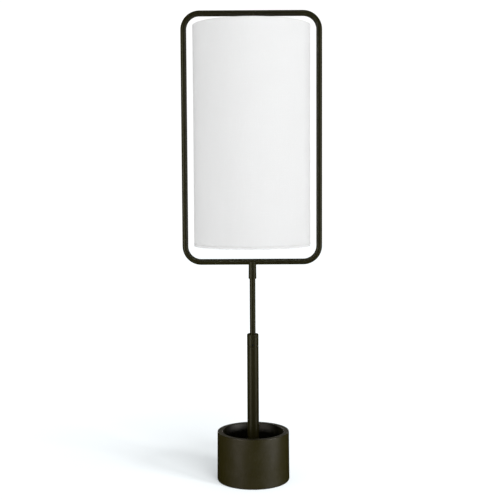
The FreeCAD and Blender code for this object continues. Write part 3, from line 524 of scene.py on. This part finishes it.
def white_wire():
    """Wire dipped in white paint, with thick and thin places."""
    thick = (0.82, 0.82, 0.80)
    thinned = (0.66, 0.655, 0.63)
    paint = Paint("white_wire", Specular_IOR_Level=0.5)
    thin = paint.ramp(paint.noise(10 * MM, detail=5), 0.55, 0.75, end=0.6)
    paint.feed("Base Color", paint.blend(thin, thick, thinned))
    paint.feed("Roughness", paint.spread(paint.noise(3 * MM, detail=4), 0.20, 0.38))
    paint.feed("Normal", paint.bump(paint.noise(2.8 * MM, detail=3), 0.12 * MM))
    return paint.material


def shade_cloth():
    """White plain-weave cotton: threads over and under, slubs along them, and a soft bloom. It needs UVs
    in metres."""
    thread = 0.42 * MM
    closer = 1.08
    drawn = 0.035
    white = (0.792, 0.771, 0.762)
    whiter = (0.817, 0.796, 0.787)
    slub_white = (0.888, 0.874, 0.867)
    gap_grey = (0.715, 0.71, 0.713)
    paint = Paint("shade_cloth", Roughness=0.88, Specular_IOR_Level=0.18, Sheen_Weight=0.12,
                  Sheen_Roughness=0.55)
    flat = paint.node("ShaderNodeUVMap", uv_map="metres").outputs["UV"]
    across = paint.waves(thread, "X", flat)
    along = paint.waves(thread * closer, "Y", flat)
    check = paint.times(paint.waves(thread * 2, "X", flat), paint.waves(thread * 2 * closer, "Y", flat))
    weave = paint.plus(paint.times(across, 0.5), paint.times(along, 0.5))
    weave = paint.plus(weave, paint.times(check, 0.6))
    weft = paint.noise(1.1 * MM, detail=4, roughness=0.6, place=paint.stretched(flat, (drawn, 1.0, 1.0)))
    warp = paint.noise(1.1 * MM, detail=4, roughness=0.6, place=paint.stretched(flat, (1.0, drawn, 1.0)))
    slubs = paint.plus(paint.ramp(weft, 0.55, 0.8), paint.ramp(warp, 0.55, 0.8))
    tone = paint.blend(paint.noise(90 * MM, detail=3), white, whiter)
    tone = paint.blend(paint.times(slubs, 0.35), tone, slub_white)
    gaps = paint.ramp(weave, 0.05, 0.5, 0.22, 0.0)
    paint.feed("Base Color", paint.blend(gaps, tone, gap_grey))
    paint.feed("Normal", paint.bump(slubs, 0.08 * MM, paint.bump(weave, 0.06 * MM)))
    return paint.material


def shade_styrene():
    """The shade's stiff white backing: smooth plastic film with a faint pebble and glue clouds."""
    white = (0.845, 0.848, 0.84)
    glued = (0.80, 0.80, 0.785)
    paint = Paint("shade_styrene", Specular_IOR_Level=0.45)
    glue = paint.ramp(paint.noise(50 * MM, detail=5), 0.45, 0.7, end=0.6)
    paint.feed("Base Color", paint.blend(glue, white, glued))
    paint.feed("Roughness", paint.spread(paint.noise(20 * MM, detail=4), 0.34, 0.46))
    paint.feed("Normal", paint.bump(paint.noise(1.4 * MM, detail=3), 0.03 * MM))
    return paint.material


MATERIALS = {
    "bronze": bronze_paint(),
    "iron": cast_iron(),
    "zinc": zinc_plate(),
    "black_steel": black_screw(),
    "felt": felt(),
    "black_plastic": black_phenolic(),
    "key_plastic": key_plastic(),
    "white_plastic": white_nylon(),
    "lead_pvc": lead_sleeve(),
    "brass": brass(),
    "card": card_tube(),
    "cap_metal": cap_metal(),
    "tip_glass": tip_glass(),
    "bulb_frost": bulb_frost(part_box("bulb_glass")[0].z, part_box("bulb_glass")[1].z),
    "white_wire": white_wire(),
    "shade_cloth": shade_cloth(),
    "shade_styrene": shade_styrene(),
}


def dress_cad_nodes():
    """Each CAD node gets the material of its record slot, and the pot its own bronze."""
    for subpart in frame["record"]["subparts"]:
        NODES[subpart["node"]].material_slots[0].material = MATERIALS[subpart["material_slot"]]
    # The pot's bronze has painted shade inside its cup.
    NODES["base_pot"].material_slots[0].material = bronze_paint("bronze_pot", hollow=POT_HOLLOW)


# ---------------------------------------------------------------- built pieces

def cloth_ripple(angle, height):
    """The cloth's small unevenness: drawn in between the rings, with soft pull marks near them."""
    waist_depth = 0.22 * MM
    pull_height = 0.07 * MM
    wander_height = 0.12 * MM
    end_reach = 0.05
    share = (height - SHADE_LOW.z) / SHADE_HEIGHT
    waist = -waist_depth * math.sin(math.pi * share)
    near_ends = math.exp(-share / end_reach) + math.exp(-(1 - share) / end_reach)
    pull = round_noise(angle, 9, share * 2) * pull_height
    wander = round_noise(angle, 2.2, share * 3 + 7) * wander_height
    return waist + pull * (0.3 + near_ends) + wander * (1 - min(near_ends, 1))


def make_shade_cloth():
    """The cloth skin: one sheet wrapped round the liner, its ends lapped at the back."""
    columns = 420
    rows_up = 96
    clearance = 0.06 * MM
    turn = FULL_TURN + LAP / CLOTH_RADIUS
    length = turn * CLOTH_RADIUS
    ramp_start = FULL_TURN * CLOTH_RADIUS - LAP_RAMP
    rows = []
    for row in range(rows_up + 1):
        height = SHADE_LOW.z + SHADE_HEIGHT * row / rows_up
        points = []
        for column in range(columns + 1):
            wrapped = turn * column / columns
            over = smooth_step((wrapped * CLOTH_RADIUS - ramp_start) / LAP_RAMP)
            lift = (CLOTH_THICKNESS + clearance) * over
            angle = SEAM + wrapped
            points.append(round_point(angle, CLOTH_RADIUS + cloth_ripple(angle, height) + lift, height))
        rows.append(points)

    def metres(row, column):
        return length * column / columns, SHADE_HEIGHT * row / rows_up

    piece = skin("shade_skin", rows, uv=metres)
    thicken(piece, CLOTH_THICKNESS)
    finished(piece, "head", MATERIALS["shade_cloth"], "shade_cloth", "shade_fabric")
    return piece, length


def lap_lift(angle):
    """How far the cloth's double layer at the back stands out from the single one."""
    step_length = 0.6 * MM
    along = ((angle - SEAM) % FULL_TURN) * CLOTH_RADIUS
    before = FULL_TURN * CLOTH_RADIUS - along
    rise = smooth_step(1 - before / LAP_RAMP)
    fall = smooth_step(1 - max(along - LAP, 0) / step_length)
    return CLOTH_THICKNESS * max(rise, fall)


def hem_line(inner, outer, thickness):
    """The strip's section, from its inner edge round the fold and up outside. Each point has its radius,
    its height above the fold, and its share of the way from inside to outside."""
    leg_steps = 6
    fold_steps = 12
    bend = (outer - inner) / 2
    middle = (outer + inner) / 2
    fold_top = bend + thickness / 2
    free_edge = 0.2 * MM
    leg = HEM_HEIGHT - free_edge
    line = []
    for step in range(leg_steps):
        line.append((inner, leg - (leg - fold_top) * step / leg_steps, 0.0))
    for step in range(fold_steps + 1):
        turn = math.pi * step / fold_steps
        line.append((middle - bend * math.cos(turn), fold_top - bend * math.sin(turn), step / fold_steps))
    for step in range(1, leg_steps + 1):
        line.append((outer, fold_top + (leg - fold_top) * step / leg_steps, 1.0))
    return line


def make_hem(name, node, edge, inward):
    """A strip of the cloth folded over one edge of the shade, its ends lapped beside the back seam."""
    columns = 400
    thickness = 0.16 * MM
    clearance = 0.02 * MM
    puckers = 14
    pucker_height = 0.012 * MM
    pucker_stretch = 0.03
    inner = (LINER_RADIUS - LINER_THICKNESS + RING_OUTER) / 2
    outer = CLOTH_RADIUS + thickness / 2 + clearance
    bend = (outer - inner) / 2
    overlap = math.radians(5)
    start = SEAM - math.radians(14)
    lap_rise = math.radians(2)
    line = hem_line(inner, outer, thickness)
    reach = [0.0]
    for here, after in zip(line, line[1:]):
        reach.append(reach[-1] + math.hypot(after[0] - here[0], after[1] - here[1]))
    rows = []
    for radius, height, share in line:
        points = []
        for column in range(columns + 1):
            angle = start + (FULL_TURN + overlap) * column / columns
            wobble = round_noise(angle, puckers, edge * 50)
            lapped = smooth_step((angle - start - FULL_TURN + lap_rise) / lap_rise)
            lift = share * (lap_lift(angle) + lapped * thickness * 1.1)
            stretch = 1 + pucker_stretch * wobble if height > bend else 1
            under = lapped * thickness * 0.9 * math.sin(math.pi * share)
            rise = edge + inward * (height * stretch - under)
            points.append(round_point(angle, radius + lift + wobble * pucker_height, rise))
        rows.append(points if inward > 0 else list(reversed(points)))
    length = (FULL_TURN + overlap) * outer
    piece = skin(name, rows, uv=lambda row, column: (length * column / columns, reach[row]))
    thicken(piece, thickness, 0.0)
    return finished(piece, "head", MATERIALS["shade_cloth"], "shade_cloth", node)


def bead(centre, size, seed, squash=(1, 1, 1)):
    """A small uneven blob of weld."""
    tilts = 12
    turns = 20
    lumps = 1.6
    unevenness = 0.16
    rows = []
    for row in range(1, tilts):
        tilt = math.pi * row / tilts
        points = []
        for column in range(turns):
            way = round_point(FULL_TURN * column / turns, math.sin(tilt), math.cos(tilt))
            lump = noise.noise(way * lumps + Vector((seed, seed * 2, seed * 3)))
            grow = size * (1 + unevenness * lump)
            points.append(centre + Vector(a * b for a, b in zip(way * grow, squash)))
        rows.append(points)
    return skin("bead", rows, loop_columns=True, end_caps=True)


def make_ring_welds():
    """The beads that join the spider's arms to the top ring and to its washer, and close the low ring."""
    ring_bead = 2.0 * MM
    washer_bead = 1.75 * MM
    closing_bead = 1.62 * MM
    arms = (90, 210, 330)
    spider_low, spider_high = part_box("shade_spider")
    ring_radius = RING_OUTER - RING_WIRE
    ring_height = spider_high.z - RING_WIRE
    washer_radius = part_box("foot_washer")[1].x
    washer_height = spider_low.z + RING_WIRE
    beads = []
    for index, degrees in enumerate(arms):
        angle = math.radians(degrees)
        on_ring = round_point(angle, ring_radius - 0.9 * MM, ring_height - 0.5 * MM)
        on_washer = round_point(angle, washer_radius - 0.4 * MM, washer_height)
        beads.append(bead(on_ring, ring_bead, index + 1))
        beads.append(bead(on_washer, washer_bead, index + 5, (1, 1, 0.8)))
    beside_seam = round_point(SEAM + 0.25, ring_radius, RING_LOW.z + RING_WIRE)
    beads.append(bead(beside_seam, closing_bead, 9, (1.5, 1, 1)))
    return finished(joined("ring_welds", beads), "head", MATERIALS["white_wire"], "white_wire")


def hub_junction(side, turn, bar_height):
    """The point of the line where a coped hub meets the tube above, at that turn round the hub."""
    y = HUB_RADIUS * math.sin(turn)
    x = side * math.sqrt(HUB_RADIUS ** 2 - y ** 2)
    return Vector((x, y, bar_height - math.sqrt(TUBE_RADIUS ** 2 - y ** 2)))


def make_hub_welds(name, bar_height):
    """The concave weld beads where a coped hub meets the frame tube above it, one on each side."""
    size = 0.85 * MM
    ripple = 0.07
    ripple_pace = 2.1
    end_fade = 0.35
    steps = 28
    face_steps = 6
    beside = 0.01
    root = 0.25 * MM
    root_depth = 0.35 * MM
    reach = math.asin(0.97 * TUBE_RADIUS / HUB_RADIUS)
    sides = []
    for side in (1, -1):
        rows = []
        for step in range(steps + 1):
            turn = reach * (2 * step / steps - 1)
            point = hub_junction(side, turn, bar_height)
            before = hub_junction(side, turn - beside, bar_height)
            after = hub_junction(side, turn + beside, bar_height)
            along = (after - before).normalized()
            down = Vector((0, 0, -1))
            down = (down - along * down.dot(along)).normalized()
            out = Vector((side, 0, 0))
            out = (out - along * out.dot(along)).normalized()
            fade = math.sin(math.pi * (step + 0.6) / (steps + 1.2)) ** end_fade
            width = size * fade * (1 + ripple * math.sin(step * ripple_pace))
            centre = point + (down + out) * width
            ring = []
            for corner in range(face_steps + 1):
                swing = QUARTER_TURN * corner / face_steps
                ring.append(centre - (out * math.cos(swing) + down * math.sin(swing)) * width)
            ring.append(point - (down + out) * root + out * width)
            ring.append(point - (down + out) * root_depth)
            ring.append(point - (down + out) * root + down * width)
            rows.append(ring)
        sides.append(skin("weld", rows, loop_columns=True, end_caps=True))
    return finished(joined(name, sides), "head", MATERIALS["bronze"], "bronze")


def make_bulb_cap():
    """The bulb's screw cap: a real helical thread, and a shoulder rounded in to the end contact."""
    low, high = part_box("bulb_cap")
    crest = high.x
    pitch = 3.63 * MM
    depth = 0.8 * MM
    root = crest - depth
    lead_in = 0.2 * MM
    shoulder_height = 3.2 * MM
    thread_low = low.z + lead_in
    thread_height = high.z - low.z - lead_in - shoulder_height
    contact_radius = 5.0 * MM
    sheet_metal = 0.3 * MM
    columns = 72
    thread_rows = 60
    fade_rows = 6
    turns = [FULL_TURN * column / columns for column in range(columns)]
    rows = [[round_point(turn, root - 0.15 * MM, low.z) for turn in turns]]
    for row in range(thread_rows + 1):
        height = thread_low + thread_height * row / thread_rows
        fade = smooth_step(row / fade_rows) * smooth_step((thread_rows - row) / fade_rows)
        points = []
        for turn in turns:
            phase = height / pitch - turn / FULL_TURN
            wave = 0.5 + 0.5 * math.sin(FULL_TURN * phase)
            points.append(round_point(turn, root + depth * wave * fade, height))
        rows.append(points)
    shoulder = thread_low + thread_height
    drop = high.z - shoulder
    for share in (0.2, 0.45, 0.7, 0.9, 1.0):
        radius = root + (contact_radius - root) * (1 - math.cos(QUARTER_TURN * share))
        height = shoulder + drop * math.sin(QUARTER_TURN * share)
        rows.append([round_point(turn, radius, height) for turn in turns])
    piece = skin("bulb_screw_cap", rows, loop_columns=True)
    thicken(piece, sheet_metal)
    return finished(piece, "head", MATERIALS["cap_metal"], "cap_metal", "bulb_cap")


def make_switch_key():
    """The key: a round boss that flattens into a wider blade with grip grooves and a rounded tip."""
    low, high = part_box("switch_key")
    middle = (low + high) / 2
    length = high.x - low.x
    boss = (high.z - low.z) / 2
    half_width = (high.y - low.y) / 2
    half_thick = 1.8 * MM
    thinnest = 0.05 * MM
    bore = 1.65 * MM
    bore_depth = 7 * MM
    chamfer = 0.25 * MM
    grooves = 11
    groove_depth = 0.22 * MM
    blade_start = 0.12
    blade_ramp = 0.34
    tip_start = 0.80
    tip_width = 0.72
    mouth = 0.93
    stations = 44
    points_round = 56
    turns = [FULL_TURN * step / points_round for step in range(points_round)]
    rows = []
    for station in range(stations + 1):
        share = station / stations
        flatten = smooth_step((share - blade_start) / blade_ramp)
        tip = max(0.0, (share - tip_start) / (1 - tip_start))
        rounding = math.sqrt(max(1 - tip ** 2.2, 0.0))
        wide = boss + (half_width - boss) * flatten
        thick = boss + (half_thick - boss) * flatten
        if tip:
            wide *= tip_width + (1 - tip_width) * rounding
            thick *= max(rounding, 0.03)
        groove = 0.5 + 0.5 * math.cos(FULL_TURN * share * grooves)
        grip = groove_depth * flatten * groove * (1 - tip) ** 2
        power = 2 + 1.4 * flatten
        ring = []
        for turn in turns:
            c = math.cos(turn)
            s = math.sin(turn)
            y = math.copysign(abs(c) ** (2 / power), c) * wide
            z = math.copysign(abs(s) ** (2 / power), s) * max(thick - grip * abs(s), thinnest)
            ring.append(Vector((low.x + length * share, middle.y + y, middle.z + z)))
        rows.append(ring)
    centre = Vector((low.x, middle.y, middle.z))
    edge = [Vector((low.x + chamfer, p.y, p.z)) for p in rows[0]]
    face = [centre + (p - centre) * mouth for p in rows[0]]
    hole = [centre + Vector((0, bore * math.cos(turn), bore * math.sin(turn))) for turn in turns]
    deep = [p + Vector((bore_depth, 0, 0)) for p in hole]
    piece = skin("turn_key", [deep, hole, face, edge] + rows[1:], loop_columns=True, end_caps=True)
    return finished(piece, "switch", MATERIALS["key_plastic"], "key_plastic", "switch_key")


def make_lead_curl():
    """The slack of the lead, curled up inside the lower tube. The curl is built where it lies and rides
    on no body."""
    low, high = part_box("lead_coil")
    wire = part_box("lead_rod")[1].x
    clearance = 0.2 * MM
    reach = high.x - wire - clearance
    turns = 9
    steps = turns * 36
    sides = 10
    end_share = 0.09

    def route(share):
        radius = reach * smooth_step(share / end_share) * smooth_step((1 - share) / end_share)
        height = low.z + (high.z - low.z) * share
        return round_point(FULL_TURN * turns * share, radius, height)

    rows = []
    for step in range(steps + 1):
        share = step / steps
        ahead = (route(min(share + 0.5 / steps, 1)) - route(max(share - 0.5 / steps, 0))).normalized()
        out = round_point(FULL_TURN * turns * share, 1, 0)
        out = (out - ahead * out.dot(ahead)).normalized()
        side = ahead.cross(out)
        ring = []
        for corner in range(sides):
            swing = FULL_TURN * corner / sides
            ring.append(route(share) + (out * math.cos(swing) + side * math.sin(swing)) * wire)
        rows.append(ring)
    piece = skin("lead_curl", rows, loop_columns=True, end_caps=True)
    piece.data.materials.append(MATERIALS["lead_pvc"])
    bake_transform(piece)
    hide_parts("lead_coil")


def make_felt():
    """The felt under the foot, with a soft uneven edge."""
    low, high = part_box("felt_pad")
    columns = 300
    flat_steps = 24
    edge_steps = 8
    middle_height = (low.z + high.z) / 2
    fuzz_length = 0.14 * MM
    dent_depth = 0.05 * MM
    edge_gap = 0.55 * MM
    bulge = 0.006
    edge_radius = high.x - edge_gap
    thickness = high.z - low.z
    profile = [(step / flat_steps, low.z) for step in range(flat_steps)]
    for step in range(edge_steps + 1):
        turn = math.pi * step / edge_steps
        profile.append((1.0 + bulge * math.sin(turn), low.z + thickness * (1 - math.cos(turn)) / 2))
    profile += [((flat_steps - 1 - step) / flat_steps, high.z) for step in range(flat_steps)]
    rows = []
    for index, (share, height) in enumerate(profile):
        at_edge = smooth_step((share - 0.8) / 0.2)
        points = []
        for column in range(columns):
            turn = FULL_TURN * column / columns
            fuzz = round_noise(turn, 60, index * 0.7)
            radius = edge_radius * max(share, 0.004) + fuzz_length * fuzz * at_edge
            dent = dent_depth * round_noise(turn, share * 40, 3)
            lift = abs(dent) if height < middle_height else -abs(dent)
            points.append(round_point(turn, radius, height + lift))
        rows.append(points)
    piece = skin("felt_foot", rows, loop_columns=True, end_caps=True)
    return finished(piece, "base", MATERIALS["felt"], "felt", "felt_pad")


# -------------------------------------------------------------- floor and dome

FLOOR_HALF = 6.0
FLOOR_DROP = 0.05 * MM
FLOOR_COLOUR = (0.61, 0.635, 0.65)
FLOOR_GLOW_COLOUR = (0.95, 0.985, 1.0)
FLOOR_GLOW = 0.34
FAR_GLOW = 0.70
GLOW_START = 0.2
GLOW_END = 1.3
DOME_RADIUS = 14
DOME_GLOW = 1.05


def floor_material():
    """Matt white that glows a little, more so far from the lamp, and is clear from below."""
    paint = Paint("studio_floor", Base_Color=(*FLOOR_COLOUR, 1), Roughness=1.0, Specular_IOR_Level=0.0,
                  Emission_Color=(*FLOOR_GLOW_COLOUR, 1))
    distance = paint.node("ShaderNodeVectorMath", operation="LENGTH")
    paint.link(paint.place, distance.inputs[0])
    glow = paint.ramp(distance.outputs["Value"], GLOW_START, GLOW_END, FLOOR_GLOW, FAR_GLOW)
    paint.feed("Emission Strength", glow)
    clear = paint.node("ShaderNodeBsdfTransparent")
    choose = paint.node("ShaderNodeMixShader")
    paint.link(paint.node("ShaderNodeNewGeometry").outputs["Backfacing"], choose.inputs[0])
    paint.link(paint.shader.outputs[0], choose.inputs[1])
    paint.link(clear.outputs[0], choose.inputs[2])
    paint.link(choose.outputs[0], paint.tree.nodes["Material Output"].inputs["Surface"])
    return paint.material


def dome_material():
    """An even white glow."""
    material = bpy.data.materials.new("studio_white")
    material.use_nodes = True
    nodes = material.node_tree.nodes
    nodes.remove(nodes["Principled BSDF"])
    glow = nodes.new("ShaderNodeEmission")
    glow.inputs["Color"].default_value = (1, 1, 1, 1)
    glow.inputs["Strength"].default_value = DOME_GLOW
    material.node_tree.links.new(glow.outputs[0], nodes["Material Output"].inputs["Surface"])
    return material


def make_floor():
    """A plain white floor, and a white surround that only the camera sees."""
    mesh = bpy.data.meshes.new("studio_floor")
    corners = [(-FLOOR_HALF, -FLOOR_HALF), (FLOOR_HALF, -FLOOR_HALF), (FLOOR_HALF, FLOOR_HALF),
               (-FLOOR_HALF, FLOOR_HALF)]
    mesh.from_pydata([(x, y, -FLOOR_DROP) for x, y in corners], [], [(0, 1, 2, 3)])
    mesh.materials.append(floor_material())
    floor = bpy.data.objects.new("studio_floor", mesh)
    floor.visible_glossy = False
    bpy.context.scene.collection.objects.link(floor)

    bpy.ops.mesh.primitive_uv_sphere_add(segments=48, ring_count=24, radius=DOME_RADIUS)
    dome = bpy.context.object
    dome.name = "studio_dome"
    dome.data.materials.append(dome_material())
    for ray in ("diffuse", "glossy", "transmission", "volume_scatter", "shadow"):
        setattr(dome, "visible_" + ray, False)
    return floor


# ----------------------------------------------------------------------- light

SKY = 0.57
SKY_COLOUR = (0.99, 1.0, 0.995)
WHITE = (1, 1, 1)
SHEEN = (1.0, 0.90, 0.86)
METAL_SHEEN = (0.98, 0.96, 0.74)
POT_SHEEN = (0.94, 0.90, 0.90)
TOP_SHEEN = (1.0, 0.94, 0.80)
BACK_SHEEN = (1.0, 0.97, 0.88)

# Each softbox: its name, azimuth and elevation in degrees, distance, width and height in metres, power
# in watts, and colour. Azimuth 0 is the front, and grows towards +X.
OPEN_LIGHTS = [
    ("key_right", 60, 4, 1.9, 0.55, 1.5, 2.2, WHITE),
    ("fill_left", -52, 1, 2.1, 0.45, 1.5, 2.4, WHITE),
]
SHADE_BACK_LIGHT = ("shade_back", 150, 6, 2.1, 0.5, 1.5, 1.7, WHITE)
METAL_LIGHTS = [
    ("sheen_right", 64, 1, 2.0, 0.8, 1.5, 8.8, METAL_SHEEN),
    ("sheen_left", -51, 0, 2.0, 0.9, 1.5, 10.5, METAL_SHEEN),
    ("sheen_top", 5, 62, 2.2, 1.2, 1.0, 2.4, TOP_SHEEN),
    ("sheen_back", 180, 17, 2.6, 3.0, 1.0, 0.9, BACK_SHEEN),
    ("sheen_back_right", 152, 3, 2.2, 0.7, 1.5, 4, METAL_SHEEN),
    ("sheen_back_left", -150, 3, 2.2, 0.7, 1.5, 3, METAL_SHEEN),
]
METAL_BACK_LIGHT = ("fill_back", 180, 10, 2.2, 1.0, 1.4, 34, WHITE)
POT_LIGHTS = [
    ("pot_sheen_right", 61, 5.5, 2.0, 1.2, 0.18, 38, POT_SHEEN),
    ("pot_sheen_left", -46, 7.0, 2.0, 1.3, 0.16, 24, SHEEN),
    ("pot_sheen_top", 5, 62, 2.2, 1.2, 1.0, 0.35, TOP_SHEEN),
    ("pot_sheen_back", 180, 16, 2.4, 2.6, 0.8, 1.3, BACK_SHEEN),
    ("pot_sheen_back_right", 158, 7, 2.0, 0.7, 0.18, 5, SHEEN),
    ("pot_sheen_back_left", -154, 7, 2.0, 0.7, 0.18, 4, SHEEN),
]
FLOOR_LIGHTS = [
    ("floor_key_front", 22, 17, 3.6, 1.8, 1.05, 148, WHITE),
    ("floor_key_side", 52, 20, 3.6, 0.9, 0.75, 102, WHITE),
]


def softbox(settings, glossy=True, aim=None):
    """An area light that faces a place, or else the lamp's middle."""
    name, azimuth, elevation, distance, width, height, power, colour = settings
    light = bpy.data.lights.new(name, "AREA")
    light.shape = "RECTANGLE"
    light.size = width
    light.size_y = height
    light.energy = power
    light.color = colour
    lamp = bpy.data.objects.new(name, light)
    side = math.radians(azimuth)
    rise = math.radians(elevation)
    way = Vector((math.sin(side) * math.cos(rise), -math.cos(side) * math.cos(rise), math.sin(rise)))
    middle = aim or (CAD_BOX[0] + CAD_BOX[1]) / 2
    lamp.location = middle + way * distance
    lamp.rotation_mode = "QUATERNION"
    lamp.rotation_quaternion = (-way).to_track_quat("-Z", "Y")
    lamp.visible_camera = False
    lamp.visible_glossy = glossy
    bpy.context.scene.collection.objects.link(lamp)
    return lamp


def only_on(lamp, targets):
    """This lamp lights these objects only. Everything still casts its shadow."""
    receivers = bpy.data.collections.new(lamp.name + "_receivers")
    for target in targets:
        receivers.objects.link(target)
    lamp.light_linking.receiver_collection = receivers


def make_light(floor, fabric):
    """A soft sky and two softboxes light everything. Each of the others lights only the fabric, the
    metal, the pot or the floor."""
    world = bpy.data.worlds.new("studio")
    bpy.context.scene.world = world
    world.use_nodes = True
    sky = world.node_tree.nodes["Background"]
    sky.inputs["Color"].default_value = (*SKY_COLOUR, 1)
    sky.inputs["Strength"].default_value = SKY
    world.cycles_visibility.glossy = False
    pot = NODES["base_pot"]
    others = (floor, pot, *fabric)
    metal = [piece for piece in bpy.data.objects if piece.type == "MESH" and piece not in others]
    rim = Vector((0, 0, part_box("base_pot")[1].z))
    for settings in OPEN_LIGHTS:
        softbox(settings, glossy=False)
    only_on(softbox(SHADE_BACK_LIGHT, glossy=False), fabric)
    for settings in METAL_LIGHTS:
        only_on(softbox(settings), metal)
    only_on(softbox(METAL_BACK_LIGHT, glossy=False), [pot, *metal])
    for settings in POT_LIGHTS:
        only_on(softbox(settings, aim=rim), [pot])
    for settings in FLOOR_LIGHTS:
        only_on(softbox(settings, aim=rim), [floor])


# ---------------------------------------------------------------------- camera

CAMERA_PLACE = (-0.00397, -1.6468, 0.5211)
CAMERA_TIP = math.radians(4.286)
CAMERA_ROLL = math.radians(-0.301)
SENSOR_WIDTH = 36
LENS = 69.78
FARTHEST = 50


def make_camera():
    """The photograph's view: a long lens a little above the lamp's middle, tipped down to the pot."""
    camera = bpy.data.cameras.new("camera")
    camera.sensor_width = SENSOR_WIDTH
    camera.lens = LENS
    camera.clip_end = FARTHEST
    holder = bpy.data.objects.new("camera", camera)
    bpy.context.scene.collection.objects.link(holder)
    tip = Matrix.Rotation(QUARTER_TURN - CAMERA_TIP, 4, "X")
    roll = Matrix.Rotation(CAMERA_ROLL, 4, "Z")
    holder.matrix_world = Matrix.Translation(CAMERA_PLACE) @ tip @ roll
    bpy.context.scene.camera = holder


# ----------------------------------------------------------------------- scene

bpy.context.scene.view_settings.view_transform = "Standard"

dress_cad_nodes()
cloth, cloth_length = make_shade_cloth()
hem_top = make_hem("hem_strip_top", "shade_hem_top", HEM_HIGH.z, -1)
hem_bottom = make_hem("hem_strip_bottom", "shade_hem_bottom", HEM_LOW.z, 1)
make_ring_welds()
make_hub_welds("hub_welds_low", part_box("low_hub")[1].z)
make_hub_welds("hub_welds_top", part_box("top_hub")[1].z)
make_bulb_cap()
make_switch_key()
make_lead_curl()
make_felt()
make_light(make_floor(), [cloth, hem_top, hem_bottom])
make_camera()
